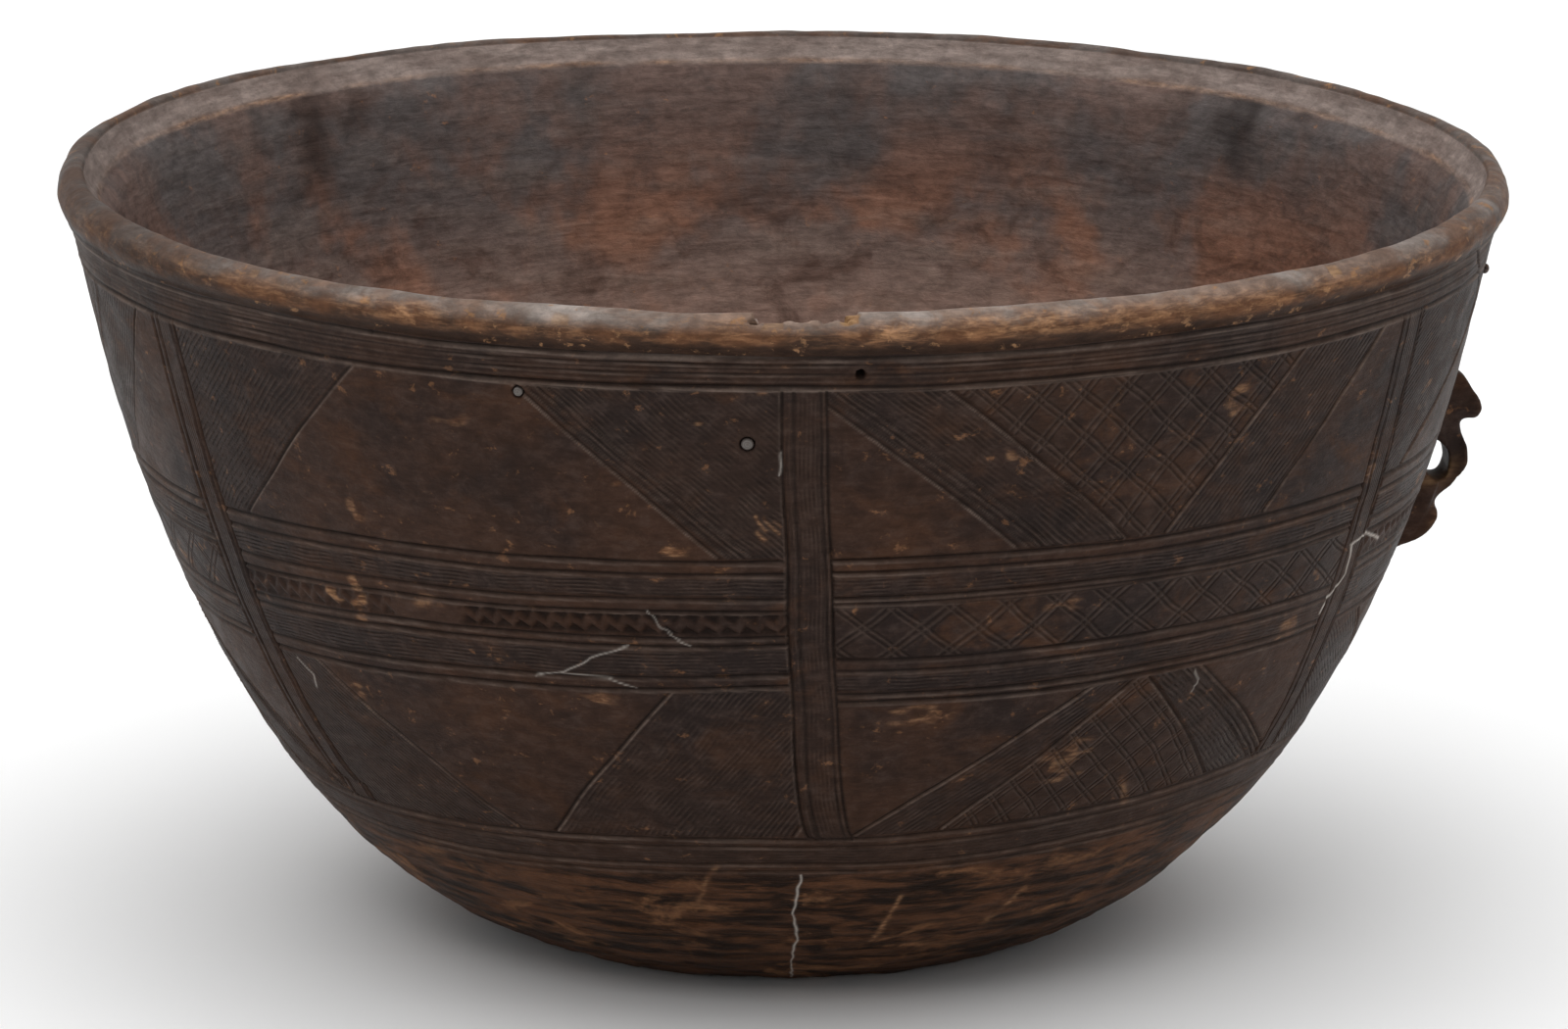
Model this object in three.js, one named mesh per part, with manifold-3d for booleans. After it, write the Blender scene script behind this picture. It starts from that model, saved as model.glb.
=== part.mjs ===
// Carved wooden bowl: a deep round vessel with a rolled rim, carved from one
// block of wood together with its pierced lug, two wooden pegs that fill
// drilled holes in the wall, and two small iron nails.
// Millimetres, +Z up, resting face at Z = 0, the lug points along +X.
import * as THREE from 'three';
import { mergeVertices } from 'three/addons/utils/BufferGeometryUtils.js';
import Module from 'manifold-3d';

const wasm = await Module();
wasm.setup();

// Vessel
const rimRadius = 240;       // largest radius, at the middle of the rim roll
const rimHeight = 254.5;     // crest of the rim above the resting face
const footRadius = 92;       // flat worn patch that the bowl stands on
const wallAtRim = 12.5;      // thickness of the wall just below the rim
const wallAtFoot = 19;       // thickness of the wall beside the flat patch
const floorThickness = 18;   // thickness on the axis
const bellyOut = 213;        // how far out the lower handle of the wall curve lies
const bellyRise = 45;        // height of that handle
const flareFall = 4;         // how little below its top the upper handle lies
const wallLean = 7;          // how far inside the wall top that handle lies

// Rim
const rollHeight = 13;       // from the groove under the roll to the crest
const rollProud = 2.5;       // how far the roll stands out from the wall
const rollStart = -Math.PI / 3.7;  // where the roll's arc leaves the groove under it
const rollEnd = Math.PI / 2;       // and where it ends, on the crest
const crestWidth = 8;        // from the widest line of the roll to the inner edge
const crestFall = 1.5;       // how much lower the inner edge lies than the crest
const bevelDrop = 7;         // height of the sloping band inside the rim
const bevelIn = 4.5;         // width of that band

// Incised lines round the outside
const footLines = [64, 72];          // heights above the resting face
const upperLines = [25.5, 84.5, 131.5];  // distances below the crest of the rim
const grooveWidth = 2.6;
const grooveDepth = 1.3;

// Lug: outline as [distance out from the wall, height above the middle of its hole]
const lugDrop = 104.7;       // from the crest of the rim down to the middle of the hole
const lugWidth = 24;         // along the wall
const lugRoot = 5;           // how deep the lug's root lies inside the wall
const lugOutline = [
  [-lugRoot, 31.2], [7.5, 29.2], [15.5, 20.2], [17, 16.2], [16.2, 13.4], [11.5, 13.2], [16.8, 4.7],
  [19.5, -1.8], [19, -7.3], [14.5, -13.3], [16.8, -18.8], [16.3, -23.3], [12, -27.8], [-lugRoot, -29.3],
];
const lugHole = { out: 7.2, halfOut: 4.6, halfHeight: 7.2 };

// Drilled holes, their pegs, and the nails. Azimuth is in degrees from the lug, and
// drop is measured from the crest of the rim down the outside.
const clearance = 0.3;       // gap between a piece and its hole, all round
const pegs = [
  { name: 'front_wall_peg', azimuth: -98.8, drop: 42.5, holeRadius: 2.25, depth: 8, recess: 0.7 },
  { name: 'side_wall_peg', azimuth: -116.5, drop: 28.5, holeRadius: 1.8, depth: 7, recess: 0.4 },
];
const emptyHole = { azimuth: -90.3, drop: 19.5, radius: 1.4, depth: 7 };
const nail = { shankRadius: 1, headRadius: 1.7, headHeight: 1.8, depth: 7 };
const wallNail = { name: 'wall_nail', azimuth: -10, drop: 32.5 };
const rimNail = { name: 'rim_nail', azimuth: 161 };  // at the middle of the roll

// Broken edge of the rim
const chip = { azimuth: -94.8, halfWidth: 13.5, halfDepth: 4.5, drop: 2.6 };

const turns = 84;            // facets round the vessel
const wallSteps = 15;
const rollSteps = 6;

const wood = new THREE.MeshStandardMaterial({ color: 0x4a3830, roughness: 0.75, metalness: 0 });
const pegWood = new THREE.MeshStandardMaterial({ color: 0x857a73, roughness: 0.85, metalness: 0 });
const iron = new THREE.MeshStandardMaterial({ color: 0x2e2725, roughness: 0.6, metalness: 0.8 });

// ---- helpers --------------------------------------------------------------

function toSolid(geometry) {
  const bare = geometry.clone();
  bare.deleteAttribute('normal');
  bare.deleteAttribute('uv');
  const merged = mergeVertices(bare.index ? bare.toNonIndexed() : bare, 1e-4);
  return new wasm.Manifold(new wasm.Mesh({
    numProp: 3,
    vertProperties: Float32Array.from(merged.attributes.position.array),
    triVerts: Uint32Array.from(merged.index.array),
  }));
}

function toGeometry(solid) {
  const mesh = solid.getMesh();
  const geometry = new THREE.BufferGeometry();
  geometry.setAttribute('position', new THREE.BufferAttribute(Float32Array.from(mesh.vertProperties), 3));
  geometry.setIndex(new THREE.BufferAttribute(Uint32Array.from(mesh.triVerts), 1));
  geometry.computeVertexNormals();
  return geometry;
}

function addPiece(group, name, geometry, material) {
  const mesh = new THREE.Mesh(geometry, material);
  mesh.name = name;
  group.add(mesh);
  return mesh;
}

const radians = THREE.MathUtils.degToRad;

// ---- the vessel's profile --------------------------------------------------

const rollFoot = rimHeight - rollHeight;
const rollMiddle = rollFoot + rollHeight / 2;
const wallTopRadius = rimRadius - rollProud;
const wallCurve = new THREE.CubicBezierCurve(
  new THREE.Vector2(footRadius, 0),
  new THREE.Vector2(bellyOut, bellyRise),
  new THREE.Vector2(wallTopRadius - wallLean, rollFoot - flareFall),
  new THREE.Vector2(wallTopRadius, rollFoot),
);

function wallShareAt(height) {
  // how far along the wall curve a height lies, by halving
  let low = 0;
  let high = 1;
  for (let i = 0; i < 40; i += 1) {
    const middle = (low + high) / 2;
    if (wallCurve.getPoint(middle).y < height) low = middle;
    else high = middle;
  }
  return low;
}

function wallRadiusAt(height) {
  return wallCurve.getPoint(wallShareAt(height)).x;
}

function wallLeanAt(height) {
  // angle by which the wall's outward normal dips below the horizontal
  const along = wallCurve.getTangent(wallShareAt(height));
  return Math.atan2(along.x, along.y);
}

function outerWall() {
  const grooveHeights = [...footLines, ...upperLines.map((drop) => rimHeight - drop)];
  const heights = [];
  for (let i = 1; i < wallSteps; i += 1) {
    const height = wallCurve.getPoint(i / wallSteps).y;
    if (grooveHeights.every((g) => Math.abs(g - height) > grooveWidth)) heights.push([height, 0]);
  }
  for (const groove of grooveHeights) {
    heights.push([groove - grooveWidth / 2, 0], [groove, grooveDepth], [groove + grooveWidth / 2, 0]);
  }
  heights.sort((a, b) => a[0] - b[0]);
  return heights.map(([height, depth]) => new THREE.Vector2(wallRadiusAt(height) - depth, height));
}

function rimRoll() {
  // the groove under the roll, then an arc round its outside and over its crest
  const points = [
    new THREE.Vector2(wallTopRadius, rollFoot - grooveWidth / 2),
    new THREE.Vector2(wallTopRadius - grooveDepth, rollFoot),
  ];
  const reach = rollProud + crestWidth / 2;
  for (let i = 0; i <= rollSteps; i += 1) {
    const angle = THREE.MathUtils.lerp(rollStart, rollEnd, i / rollSteps);
    points.push(new THREE.Vector2(
      rimRadius - reach + reach * Math.cos(angle),
      rollMiddle + (rollHeight / 2) * Math.sin(angle),
    ));
  }
  return points;
}

function innerWall() {
  // from the inner edge of the rim down to the axis
  const edge = new THREE.Vector2(rimRadius - crestWidth, rimHeight - crestFall);
  const bevelFoot = new THREE.Vector2(edge.x - bevelIn, edge.y - bevelDrop);
  const points = [edge, bevelFoot];
  for (let i = wallSteps - 1; i >= 1; i -= 1) {
    const t = i / wallSteps;
    const outer = wallCurve.getPoint(t);
    const along = wallCurve.getTangent(t);
    const thickness = THREE.MathUtils.lerp(wallAtFoot, wallAtRim, t);
    const inner = new THREE.Vector2(outer.x - along.y * thickness, outer.y + along.x * thickness);
    if (inner.y < bevelFoot.y - bevelDrop) points.push(inner);
  }
  points.push(new THREE.Vector2(0, floorThickness));
  return points;
}

const profile = [
  new THREE.Vector2(0, 0),
  new THREE.Vector2(footRadius, 0),
  ...outerWall(),
  ...rimRoll(),
  ...innerWall(),
];

function upright(geometry) {
  // a lathe turns about Y: stand its axis up along Z
  geometry.rotateX(Math.PI / 2);
  return geometry;
}

// ---- holes, pegs, nails ----------------------------------------------------

function placeOnWall(geometry, place) {
  // what is made along +X, with the wall's surface at X = 0, is turned square to
  // the wall, moved out to it and turned to its azimuth
  const height = rimHeight - place.drop;
  geometry.rotateY(wallLeanAt(height));
  geometry.translate(wallRadiusAt(height), 0, height);
  geometry.rotateZ(radians(place.azimuth));
  return geometry;
}

function placeOnRoll(geometry, place) {
  // the same, at the widest line of the rim roll, where its surface is upright
  geometry.translate(rimRadius, 0, rollMiddle);
  geometry.rotateZ(radians(place.azimuth));
  return geometry;
}

function rodAlongX(rodRadius, from, to, sides) {
  const rod = new THREE.CylinderGeometry(rodRadius, rodRadius, to - from, sides);
  rod.rotateZ(-Math.PI / 2);
  rod.translate((from + to) / 2, 0, 0);
  return rod;
}

function makeNail() {
  // under side of the head one clearance off X = 0, shank running inwards
  const half = nail.headHeight / 2;
  const outline = [
    [0, -nail.depth], [nail.shankRadius * 0.6, -nail.depth], [nail.shankRadius, -nail.depth + nail.headHeight],
    [nail.shankRadius, 0], [nail.headRadius, 0], [nail.headRadius, half],
    [nail.headRadius * 0.65, nail.headHeight * 0.88], [0, nail.headHeight],
  ];
  const body = new THREE.LatheGeometry(outline.map(([r, y]) => new THREE.Vector2(r, y)), 12);
  body.rotateZ(-Math.PI / 2);
  body.translate(clearance, 0, 0);
  return body;
}

function makeNailBore() {
  return rodAlongX(nail.shankRadius + clearance, -nail.depth, nail.depth, 12);
}

// ---- the bowl ---------------------------------------------------------------

function makeLug() {
  const holeHeight = rimHeight - lugDrop;
  const shape = new THREE.Shape(lugOutline.map(
    ([out, up]) => new THREE.Vector2(wallRadiusAt(holeHeight + up) + out, holeHeight + up),
  ));
  const hole = new THREE.Path();
  hole.absellipse(
    wallRadiusAt(holeHeight) + lugHole.out, holeHeight,
    lugHole.halfOut, lugHole.halfHeight, 0, Math.PI * 2, false, 0,
  );
  shape.holes.push(hole);
  const geometry = new THREE.ExtrudeGeometry(shape, { depth: lugWidth, bevelEnabled: false, curveSegments: 8 });
  geometry.rotateX(Math.PI / 2);
  geometry.translate(0, lugWidth / 2, 0);
  return geometry;
}

function makeChip() {
  // the bite missing from the inner edge of the rim
  const bite = new THREE.SphereGeometry(1, 16, 12);
  bite.scale(chip.halfDepth, chip.halfWidth, chip.drop);
  bite.translate(rimRadius - crestWidth, 0, rimHeight - crestFall);
  bite.rotateZ(radians(chip.azimuth));
  return bite;
}

function makeBowl() {
  const cuts = pegs.map((peg) => placeOnWall(rodAlongX(peg.holeRadius, -peg.depth, peg.depth, 16), peg));
  cuts.push(
    placeOnWall(rodAlongX(emptyHole.radius, -emptyHole.depth, emptyHole.depth, 12), emptyHole),
    placeOnWall(makeNailBore(), wallNail),
    placeOnRoll(makeNailBore(), rimNail),
    makeChip(),
  );
  const vessel = toSolid(upright(new THREE.LatheGeometry(profile, turns)));
  const carved = vessel.add(toSolid(makeLug()));
  return toGeometry(cuts.reduce((left, cut) => left.subtract(toSolid(cut)), carved));
}

// ---- assembly ----------------------------------------------------------------

const group = new THREE.Group();
addPiece(group, 'bowl', makeBowl(), wood);

for (const peg of pegs) {
  const rod = rodAlongX(peg.holeRadius - clearance, clearance - peg.depth, -peg.recess, 14);
  addPiece(group, peg.name, placeOnWall(rod, peg), pegWood);
}
addPiece(group, rimNail.name, placeOnRoll(makeNail(), rimNail), iron);
addPiece(group, wallNail.name, placeOnWall(makeNail(), wallNail), iron);

export default group;
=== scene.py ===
"""Looks of the carved wooden bowl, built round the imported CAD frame.

The vessel, its rim and its lug are one block of wood, so they are one piece. Its skin
is a fine grid of azimuth by profile, and the carving is a height field on that grid.
Distances are millimetres until the meshes are written in metres. Azimuth is in degrees
from the lug (+X), heights are above the resting face.
"""
import math

import bpy
import numpy as np
from mathutils import Matrix, Vector


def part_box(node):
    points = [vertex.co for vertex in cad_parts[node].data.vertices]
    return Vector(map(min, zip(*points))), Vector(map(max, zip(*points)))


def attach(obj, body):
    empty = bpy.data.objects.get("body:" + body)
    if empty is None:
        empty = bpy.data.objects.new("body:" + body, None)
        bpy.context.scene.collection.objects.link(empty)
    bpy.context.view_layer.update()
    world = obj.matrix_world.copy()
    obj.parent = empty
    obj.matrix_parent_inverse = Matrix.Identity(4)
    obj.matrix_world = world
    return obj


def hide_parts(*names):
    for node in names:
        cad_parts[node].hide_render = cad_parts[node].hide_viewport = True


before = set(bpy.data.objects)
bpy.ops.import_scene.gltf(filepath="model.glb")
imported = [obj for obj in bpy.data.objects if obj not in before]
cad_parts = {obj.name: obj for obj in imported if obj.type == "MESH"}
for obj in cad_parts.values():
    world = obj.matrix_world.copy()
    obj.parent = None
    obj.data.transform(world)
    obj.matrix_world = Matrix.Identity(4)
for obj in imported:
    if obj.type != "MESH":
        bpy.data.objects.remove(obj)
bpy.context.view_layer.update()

MM = 0.001

# ---- driving dimensions, the same as the frame's --------------------

RIM_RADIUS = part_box("bowl")[1].y / MM
RIM_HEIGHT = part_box("bowl")[1].z / MM
FOOT_RADIUS = 92.0
WALL_AT_RIM = 12.5
WALL_AT_FOOT = 19.0
FLOOR_THICKNESS = 18.0
BELLY_OUT = 213.0
BELLY_RISE = 45.0
FLARE_FALL = 4.0
WALL_LEAN = 7.0
ROLL_HEIGHT = 13.0
ROLL_PROUD = 2.5
CREST_WIDTH = 8.0
CREST_FALL = 1.5
BEVEL_DROP = 7.0
BEVEL_IN = 4.5
GROOVE_DEPTH = 1.3
LUG_DROP = 104.7

ROLL_FOOT = RIM_HEIGHT - ROLL_HEIGHT
ROLL_MIDDLE = ROLL_FOOT + ROLL_HEIGHT / 2
WALL_TOP_RADIUS = RIM_RADIUS - ROLL_PROUD
HOLE_HEIGHT = RIM_HEIGHT - LUG_DROP

# ---- fineness of the grid -------------------------------------------

FINE = 1.0
COLUMNS = int(2200 * FINE)
WALL_STEP = 0.62 / FINE
RIM_STEP = 0.7 / FINE
INSIDE_STEP = 2.4 / FINE
FOOT_STEP = 4.0


# ---- small helpers on arrays ----------------------------------------

def smooth(low, high, x):
    t = np.clip((x - low) / (high - low), 0.0, 1.0)
    return t * t * (3.0 - 2.0 * t)


def window(low, high, x, rise=1.0, fall=None):
    """1 between low and high, with soft edges that lie inside them."""
    fall = rise if fall is None else fall
    return smooth(low, low + rise, x) * (1 - smooth(high - fall, high, x))


def bell(x, width):
    return np.exp(-(x / width) ** 2)


MEAN_RADIUS = 200.0     # mm, for the wavelengths round the bowl


def ripple(azimuth, along, waves, shortest, longest, seed, stretch=1.0):
    """A smooth random field, about -1 to 1, that closes round the bowl.

    shortest and longest are wavelengths in mm; stretch lengthens it round the bowl.
    """
    dice = np.random.default_rng(seed)
    total = np.zeros(np.broadcast(azimuth, along).shape)
    for _ in range(waves):
        length = math.exp(dice.uniform(math.log(shortest), math.log(longest)))
        heading = dice.uniform(0.0, 2.0 * math.pi)
        per_turn = round(2.0 * math.pi * MEAN_RADIUS * math.cos(heading) / (length * stretch))
        per_mm = 2.0 * math.pi * math.sin(heading) / length
        phase = dice.uniform(0.0, 2.0 * math.pi)
        total = total + np.sin(np.radians(azimuth) * per_turn + along * per_mm + phase)
    return total / math.sqrt(waves / 2.0) / 1.6


def round_the_ring(azimuth, stations, values):
    """Values given at a few azimuths, joined smoothly all round."""
    stations = np.asarray(stations, float)
    values = np.asarray(values, float)
    turned = (azimuth - stations[0]) % 360.0
    edges = np.append((stations - stations[0]) % 360.0, 360.0)
    ends = np.append(values, values[0])
    place = np.clip(np.searchsorted(edges, turned, side="right") - 1, 0, len(values) - 1)
    share = (turned - edges[place]) / (edges[place + 1] - edges[place])
    share = share * share * (3.0 - 2.0 * share)
    return ends[place] * (1.0 - share) + ends[place + 1] * share


# ---- the profile ----------------------------------------------------

def wall_point(t):
    handles = [
        (FOOT_RADIUS, 0.0), (BELLY_OUT, BELLY_RISE),
        (WALL_TOP_RADIUS - WALL_LEAN, ROLL_FOOT - FLARE_FALL), (WALL_TOP_RADIUS, ROLL_FOOT),
    ]
    shares = [(1 - t) ** 3, 3 * (1 - t) ** 2 * t, 3 * (1 - t) * t ** 2, t ** 3]
    return sum(s[:, None] * np.array([h]) for s, h in zip(shares, handles))


def spaced(points, step):
    """The same line with its points a step apart."""
    points = np.asarray(points, float)
    length = np.r_[0, np.cumsum(np.hypot(*np.diff(points, axis=0).T))]
    count = max(2, int(round(length[-1] / step)))
    where = np.linspace(0, length[-1], count + 1)
    return np.c_[np.interp(where, length, points[:, 0]), np.interp(where, length, points[:, 1])]


def make_profile():
    """Points (radius, height) from the axis under the foot, over the rim, to the axis inside."""
    shares = np.linspace(0, 1, 1200)
    wall = wall_point(shares)
    reach = ROLL_PROUD + CREST_WIDTH / 2
    angles = np.linspace(-math.pi / 3.4, math.pi / 2 + 0.25, 40)
    roll = np.c_[
        RIM_RADIUS - reach + reach * np.cos(angles),
        ROLL_MIDDLE + ROLL_HEIGHT / 2 * np.sin(angles),
    ]
    edge = (RIM_RADIUS - CREST_WIDTH, RIM_HEIGHT - CREST_FALL)
    bevel = (edge[0] - BEVEL_IN, edge[1] - BEVEL_DROP)
    tangent = np.gradient(wall, axis=0)
    tangent /= np.linalg.norm(tangent, axis=1)[:, None]
    thick = WALL_AT_FOOT + (WALL_AT_RIM - WALL_AT_FOOT) * shares
    inner = wall + np.c_[-tangent[:, 1], tangent[:, 0]] * thick[:, None]
    inner = inner[inner[:, 1] < bevel[1] - BEVEL_DROP][::-1]
    stretches = [
        # in the order of the zones below
        spaced([(0.0, 0.0), (FOOT_RADIUS, 0.0)], FOOT_STEP),
        spaced(wall, WALL_STEP),
        spaced(np.r_[[(WALL_TOP_RADIUS - GROOVE_DEPTH, ROLL_FOOT)], roll, [edge]], RIM_STEP),
        spaced([edge, bevel], RIM_STEP),
        spaced(np.r_[[bevel], inner], INSIDE_STEP),
        spaced([inner[-1], (0.0, FLOOR_THICKNESS)], FOOT_STEP),
    ]
    points, zones = [], []
    for number, line in enumerate(stretches):
        fresh = line[1:] if number else line
        points.append(fresh)
        zones += [number] * len(fresh)
    return np.concatenate(points), np.array(zones)


profile, zone_of_row = make_profile()
FOOT, WALL, ROLL, BEVEL, INSIDE, FLOOR = range(6)


def soften(points, passes, keep):
    """Rounds the corners between stretches; the ends on the axis stay."""
    points = points.copy()
    for _ in range(passes):
        middle = (points[:-2] + points[2:]) / 2
        blend = keep[1:-1, None]
        points[1:-1] += (middle - points[1:-1]) * 0.5 * blend
    return points


rim_rows = ((zone_of_row >= ROLL) & (zone_of_row <= INSIDE)).astype(float)
profile = soften(profile, int(5 * FINE) + 1, rim_rows)
foot_rows = (np.abs(profile[:, 0] - FOOT_RADIUS) < 7) & (profile[:, 1] < 5)
profile = soften(profile, 12, foot_rows.astype(float))

row_normal = np.gradient(profile, axis=0)
row_normal = np.c_[row_normal[:, 1], -row_normal[:, 0]]
row_normal /= np.linalg.norm(row_normal, axis=1)[:, None]
row_normal[0] = (0, -1)
row_normal[-1] = (0, 1)
row_length = np.r_[0, np.cumsum(np.hypot(*np.diff(profile, axis=0).T))]

wall_rows = np.flatnonzero(zone_of_row == WALL)
wall_start = row_length[wall_rows[0] - 1]
wall_arc = row_length[wall_rows] - wall_start      # distance up the wall from the foot
wall_height = profile[wall_rows, 1]
wall_radius = profile[wall_rows, 0]


def arc_at(height):
    return np.interp(height, wall_height, wall_arc)


def radius_at(height):
    return np.interp(height, wall_height, wall_radius)


# ---- the carving: a height field on the wall ------------------------

# Six upright bands part the wall into six panels. Azimuth at the top and at the foot.
BANDS = [(-153.8, -148.6), (-94.6, -90.8), (-37.1, -34.6), (27.5, 26.0), (87.5, 89.5), (147.5, 145.0)]
BAND_BEND = 0.36        # how late the bands turn towards their foot
STATIONS = [band[0] for band in BANDS]
BAND_HALF = 6.9         # half a band's width in mm

# Heights of the level lines where they meet each band.
RIM_LINE = [228.8, 231.0, 229.6, 230.4, 229.4, 229.8]
BELT_TOP = [166.0, 173.1, 172.8, 171.5, 170.0, 168.0]
BELT_FOOT_LEFT = [119.5, 123.3, 123.5, 122.0, 121.0, 120.0]
BELT_FOOT_RIGHT = [129.2, 123.6, 122.0, 121.0, 120.0, 119.5]
FOOT_LINE = [65.4, 71.7, 75.9, 73.5, 70.0, 67.0]

# Diagonals of a panel, as shares of its width at its top and at its foot, and the
# fields between them. Hatching runs along the diagonal that it is named after.
# bold says which lines have three bolder cuts beside them.
UPPER_HATCHED = {
    "lines": [(0.390, 0.071), (0.619, 0.871)],
    "fields": ["hatch0", "plain", "hatch1"],
    "bold": [1],
}
UPPER_LATTICE = {
    "lines": [(0.000, 0.297), (0.185, 0.466), (0.750, 0.517), (0.923, 0.704)],
    "fields": ["plain", "hatch0", "lattice", "hatch3", "plain"],
    "bold": [0],
}
LOWER_HATCHED = {
    "lines": [(0.106, 0.425), (0.765, 0.480), (1.120, 0.920)],
    "fields": ["hatch0", "plain", "hatch1", "plain"],
    "bold": [],
}
LOWER_LATTICE = {
    "lines": [(0.440, 0.020), (0.523, 0.185), (0.535, 0.790), (0.645, 0.985)],
    "fields": ["plain", "hatch0", "lattice", "hatch3", "plain"],
    "bold": [3],
}


def spread_columns():
    """Azimuths of the grid's columns, twice as close on the side with the pegs."""
    angles = np.linspace(-206.0, 154.0, 3601)
    density = 0.5 + 0.5 * window(-204.0, 10.0, angles, 8.0)
    filled = np.r_[0, np.cumsum((density[1:] + density[:-1]) / 2)]
    return np.interp(np.arange(COLUMNS) / COLUMNS, filled / filled[-1], angles)


azimuth = spread_columns()
az = azimuth[None, :]
arc = wall_arc[:, None]
mm_per_degree = wall_radius[:, None] * math.pi / 180.0


def away_from(place):
    """Degrees round the bowl from a place, -180 to 180."""
    return (az - place + 180.0) % 360.0 - 180.0


# the carver's hand: every line wanders a little
sway_up = 0.45 * ripple(az, arc, 14, 25, 120, 3, 2.0)
sway_round = 0.40 * ripple(az, arc, 14, 30, 140, 4)
cut = 0.8 + 0.25 * ripple(az, arc, 16, 20, 110, 5)   # how deep the knife went
arc_s = arc + sway_up

height_field = np.zeros((len(wall_rows), COLUMNS))
painted_cut_shade = np.zeros_like(height_field)
hatch_phase = np.zeros_like(height_field)
hatch_mark = np.zeros_like(height_field)
lattice_a = np.zeros_like(height_field)
lattice_b = np.zeros_like(height_field)
lattice_mark = np.zeros_like(height_field)
lattice_gap = np.full_like(height_field, 0.1)
painted_lip_highlight = np.zeros_like(height_field)


# the lip beside a cut, as shares of the cut's width and depth
LIP_AWAY = 1.30
LIP_WIDTH = 0.50
LIP_RISE = 0.34


def carve_line(distance, width, depth, where=1.0, lit=-1.0, shine=1.0):
    """A knife-cut groove along distance == 0; its sharper lip is on the side that lit names.

    shine says how strong the painted highlight on the lip is; the groove's painted shade lies nearer its
    unlit side.
    """
    global height_field, painted_cut_shade, painted_lip_highlight
    groove = bell(distance, width)
    lip = bell(distance - lit * LIP_AWAY * width, LIP_WIDTH * width)
    height_field = height_field + where * cut * depth * (LIP_RISE * lip - groove)
    # painted shade in the groove, nearer its unlit side
    deepest = bell(distance + lit * 0.2 * width, 0.8 * width)
    painted_cut_shade = np.maximum(painted_cut_shade, where * deepest * min(1.0, depth))
    # painted highlight on the lip beside the groove
    painted_lip_highlight = np.maximum(painted_lip_highlight, where * lip * shine * min(1.0, depth) * np.clip(cut, 0, 1.2))


def hatch(distance, pitch, where):
    """Fine parallel cuts: only their phase is stored, and the shader cuts them."""
    global hatch_phase, hatch_mark
    inside = where > 0.02
    hatch_phase = np.where(inside, distance / pitch, hatch_phase)
    hatch_mark = np.maximum(hatch_mark, where)


def band_middle(number, bend=BAND_BEND):
    """Azimuth of a band's middle at each height; a bend of 1 makes it straight."""
    top, foot = BANDS[number % len(BANDS)]
    share = np.clip((wall_height - FOOT_LINE[1]) / (RIM_LINE[1] - FOOT_LINE[1]), 0, 1)[:, None]
    return foot + (top - foot) * share ** bend


rim_line = arc_at(round_the_ring(az, STATIONS, RIM_LINE))
foot_line = arc_at(round_the_ring(az, STATIONS, FOOT_LINE))
# for each band, the signed distance in mm from its middle
bands = [away_from(band_middle(number)) * mm_per_degree + sway_round for number in range(len(BANDS))]
# where use has rubbed the cuts
worn = smooth(0.1, 0.9, ripple(az, arc, 18, 60, 260, 8) * 0.6 + 0.15)

# level lines that run all round
carve_line(arc_s - rim_line, 0.85, 1.5, shine=1.7)
above_rim_line = smooth(1.0, 2.0, arc_s - rim_line)
for offset, depth in ((2.6, 0.35), (4.2, 0.75), (5.9, 0.4), (7.4, 0.8), (9.0, 0.4), (10.4, 0.6)):
    carve_line(arc_s - rim_line - offset, 0.48, depth, above_rim_line)
carve_line(arc_s - arc_at(ROLL_FOOT - 1.2), 0.75, 1.1, shine=1.6)
for offset, width, depth in ((0.0, 0.8, 0.95), (-3.8, 0.7, 0.75), (-12.9, 0.8, 0.85), (-16.8, 0.7, 0.7)):
    carve_line(arc_s - foot_line - offset, width, depth * 0.9)
between_foot_lines = window(-12.2, -4.4, arc_s - foot_line, 1.0, 0.8)
hatch(arc_s - foot_line, 1.55, 0.55 * between_foot_lines)


def panel_coordinates(number):
    """Share across a panel, its width in mm, and a mask that is 1 inside it.

    The first share follows the bent bands; the last one has straight sides, for the diagonals.
    """
    left, right = band_middle(number), band_middle(number + 1)
    width = (right - left) % 360.0
    across = (az - left) % 360.0 / width
    inside = (across < 1.0) * smooth(0.0, 0.8, across * width * mm_per_degree - BAND_HALF)
    inside = inside * smooth(0.0, 0.8, (1.0 - across) * width * mm_per_degree - BAND_HALF)
    straight = band_middle(number, 1.0)
    straight_width = (band_middle(number + 1, 1.0) - straight) % 360.0
    slanted = ((az - straight + 60.0) % 360.0 - 60.0) / straight_width
    sway = sway_round / (width * mm_per_degree)
    return across + sway, width * mm_per_degree, inside, slanted + sway


def carve_belt(number, lattice, across, inside):
    """The belt of level lines round the middle, cut afresh in each panel."""
    top = arc_at(BELT_TOP[number] * (1 - across) + BELT_TOP[(number + 1) % 6] * across)
    foot = arc_at(BELT_FOOT_LEFT[number] * (1 - across) + BELT_FOOT_RIGHT[number] * across)
    deep = top - foot
    share = (top - arc_s) / deep
    within = inside * (share > -0.1) * (share < 1.1)
    cuts = (
        [(0.0, 1.2), (0.084, 1.0), (0.26, 1.1), (0.298, 0.7),
         (0.690, 1.0), (0.772, 0.8), (0.941, 0.9), (1.0, 1.1)]
        if lattice else
        [(0.0, 1.2), (0.10, 0.9), (0.293, 0.8), (0.388, 1.1),
         (0.587, 1.0), (0.654, 0.9), (0.904, 0.9), (1.0, 1.2)]
    )
    for place, depth in cuts:
        carve_line((place - share) * deep, 0.74, 1.15 * depth, within, shine=0.85)
    fine = [(0.105, 0.245), (0.80, 0.915)] if lattice else [(0.125, 0.27), (0.68, 0.88)]
    for low, high in fine:
        hatch((share - low) * deep, 1.38, within * window(low, high, share, 0.015))
    return share, deep, within, top


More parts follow.
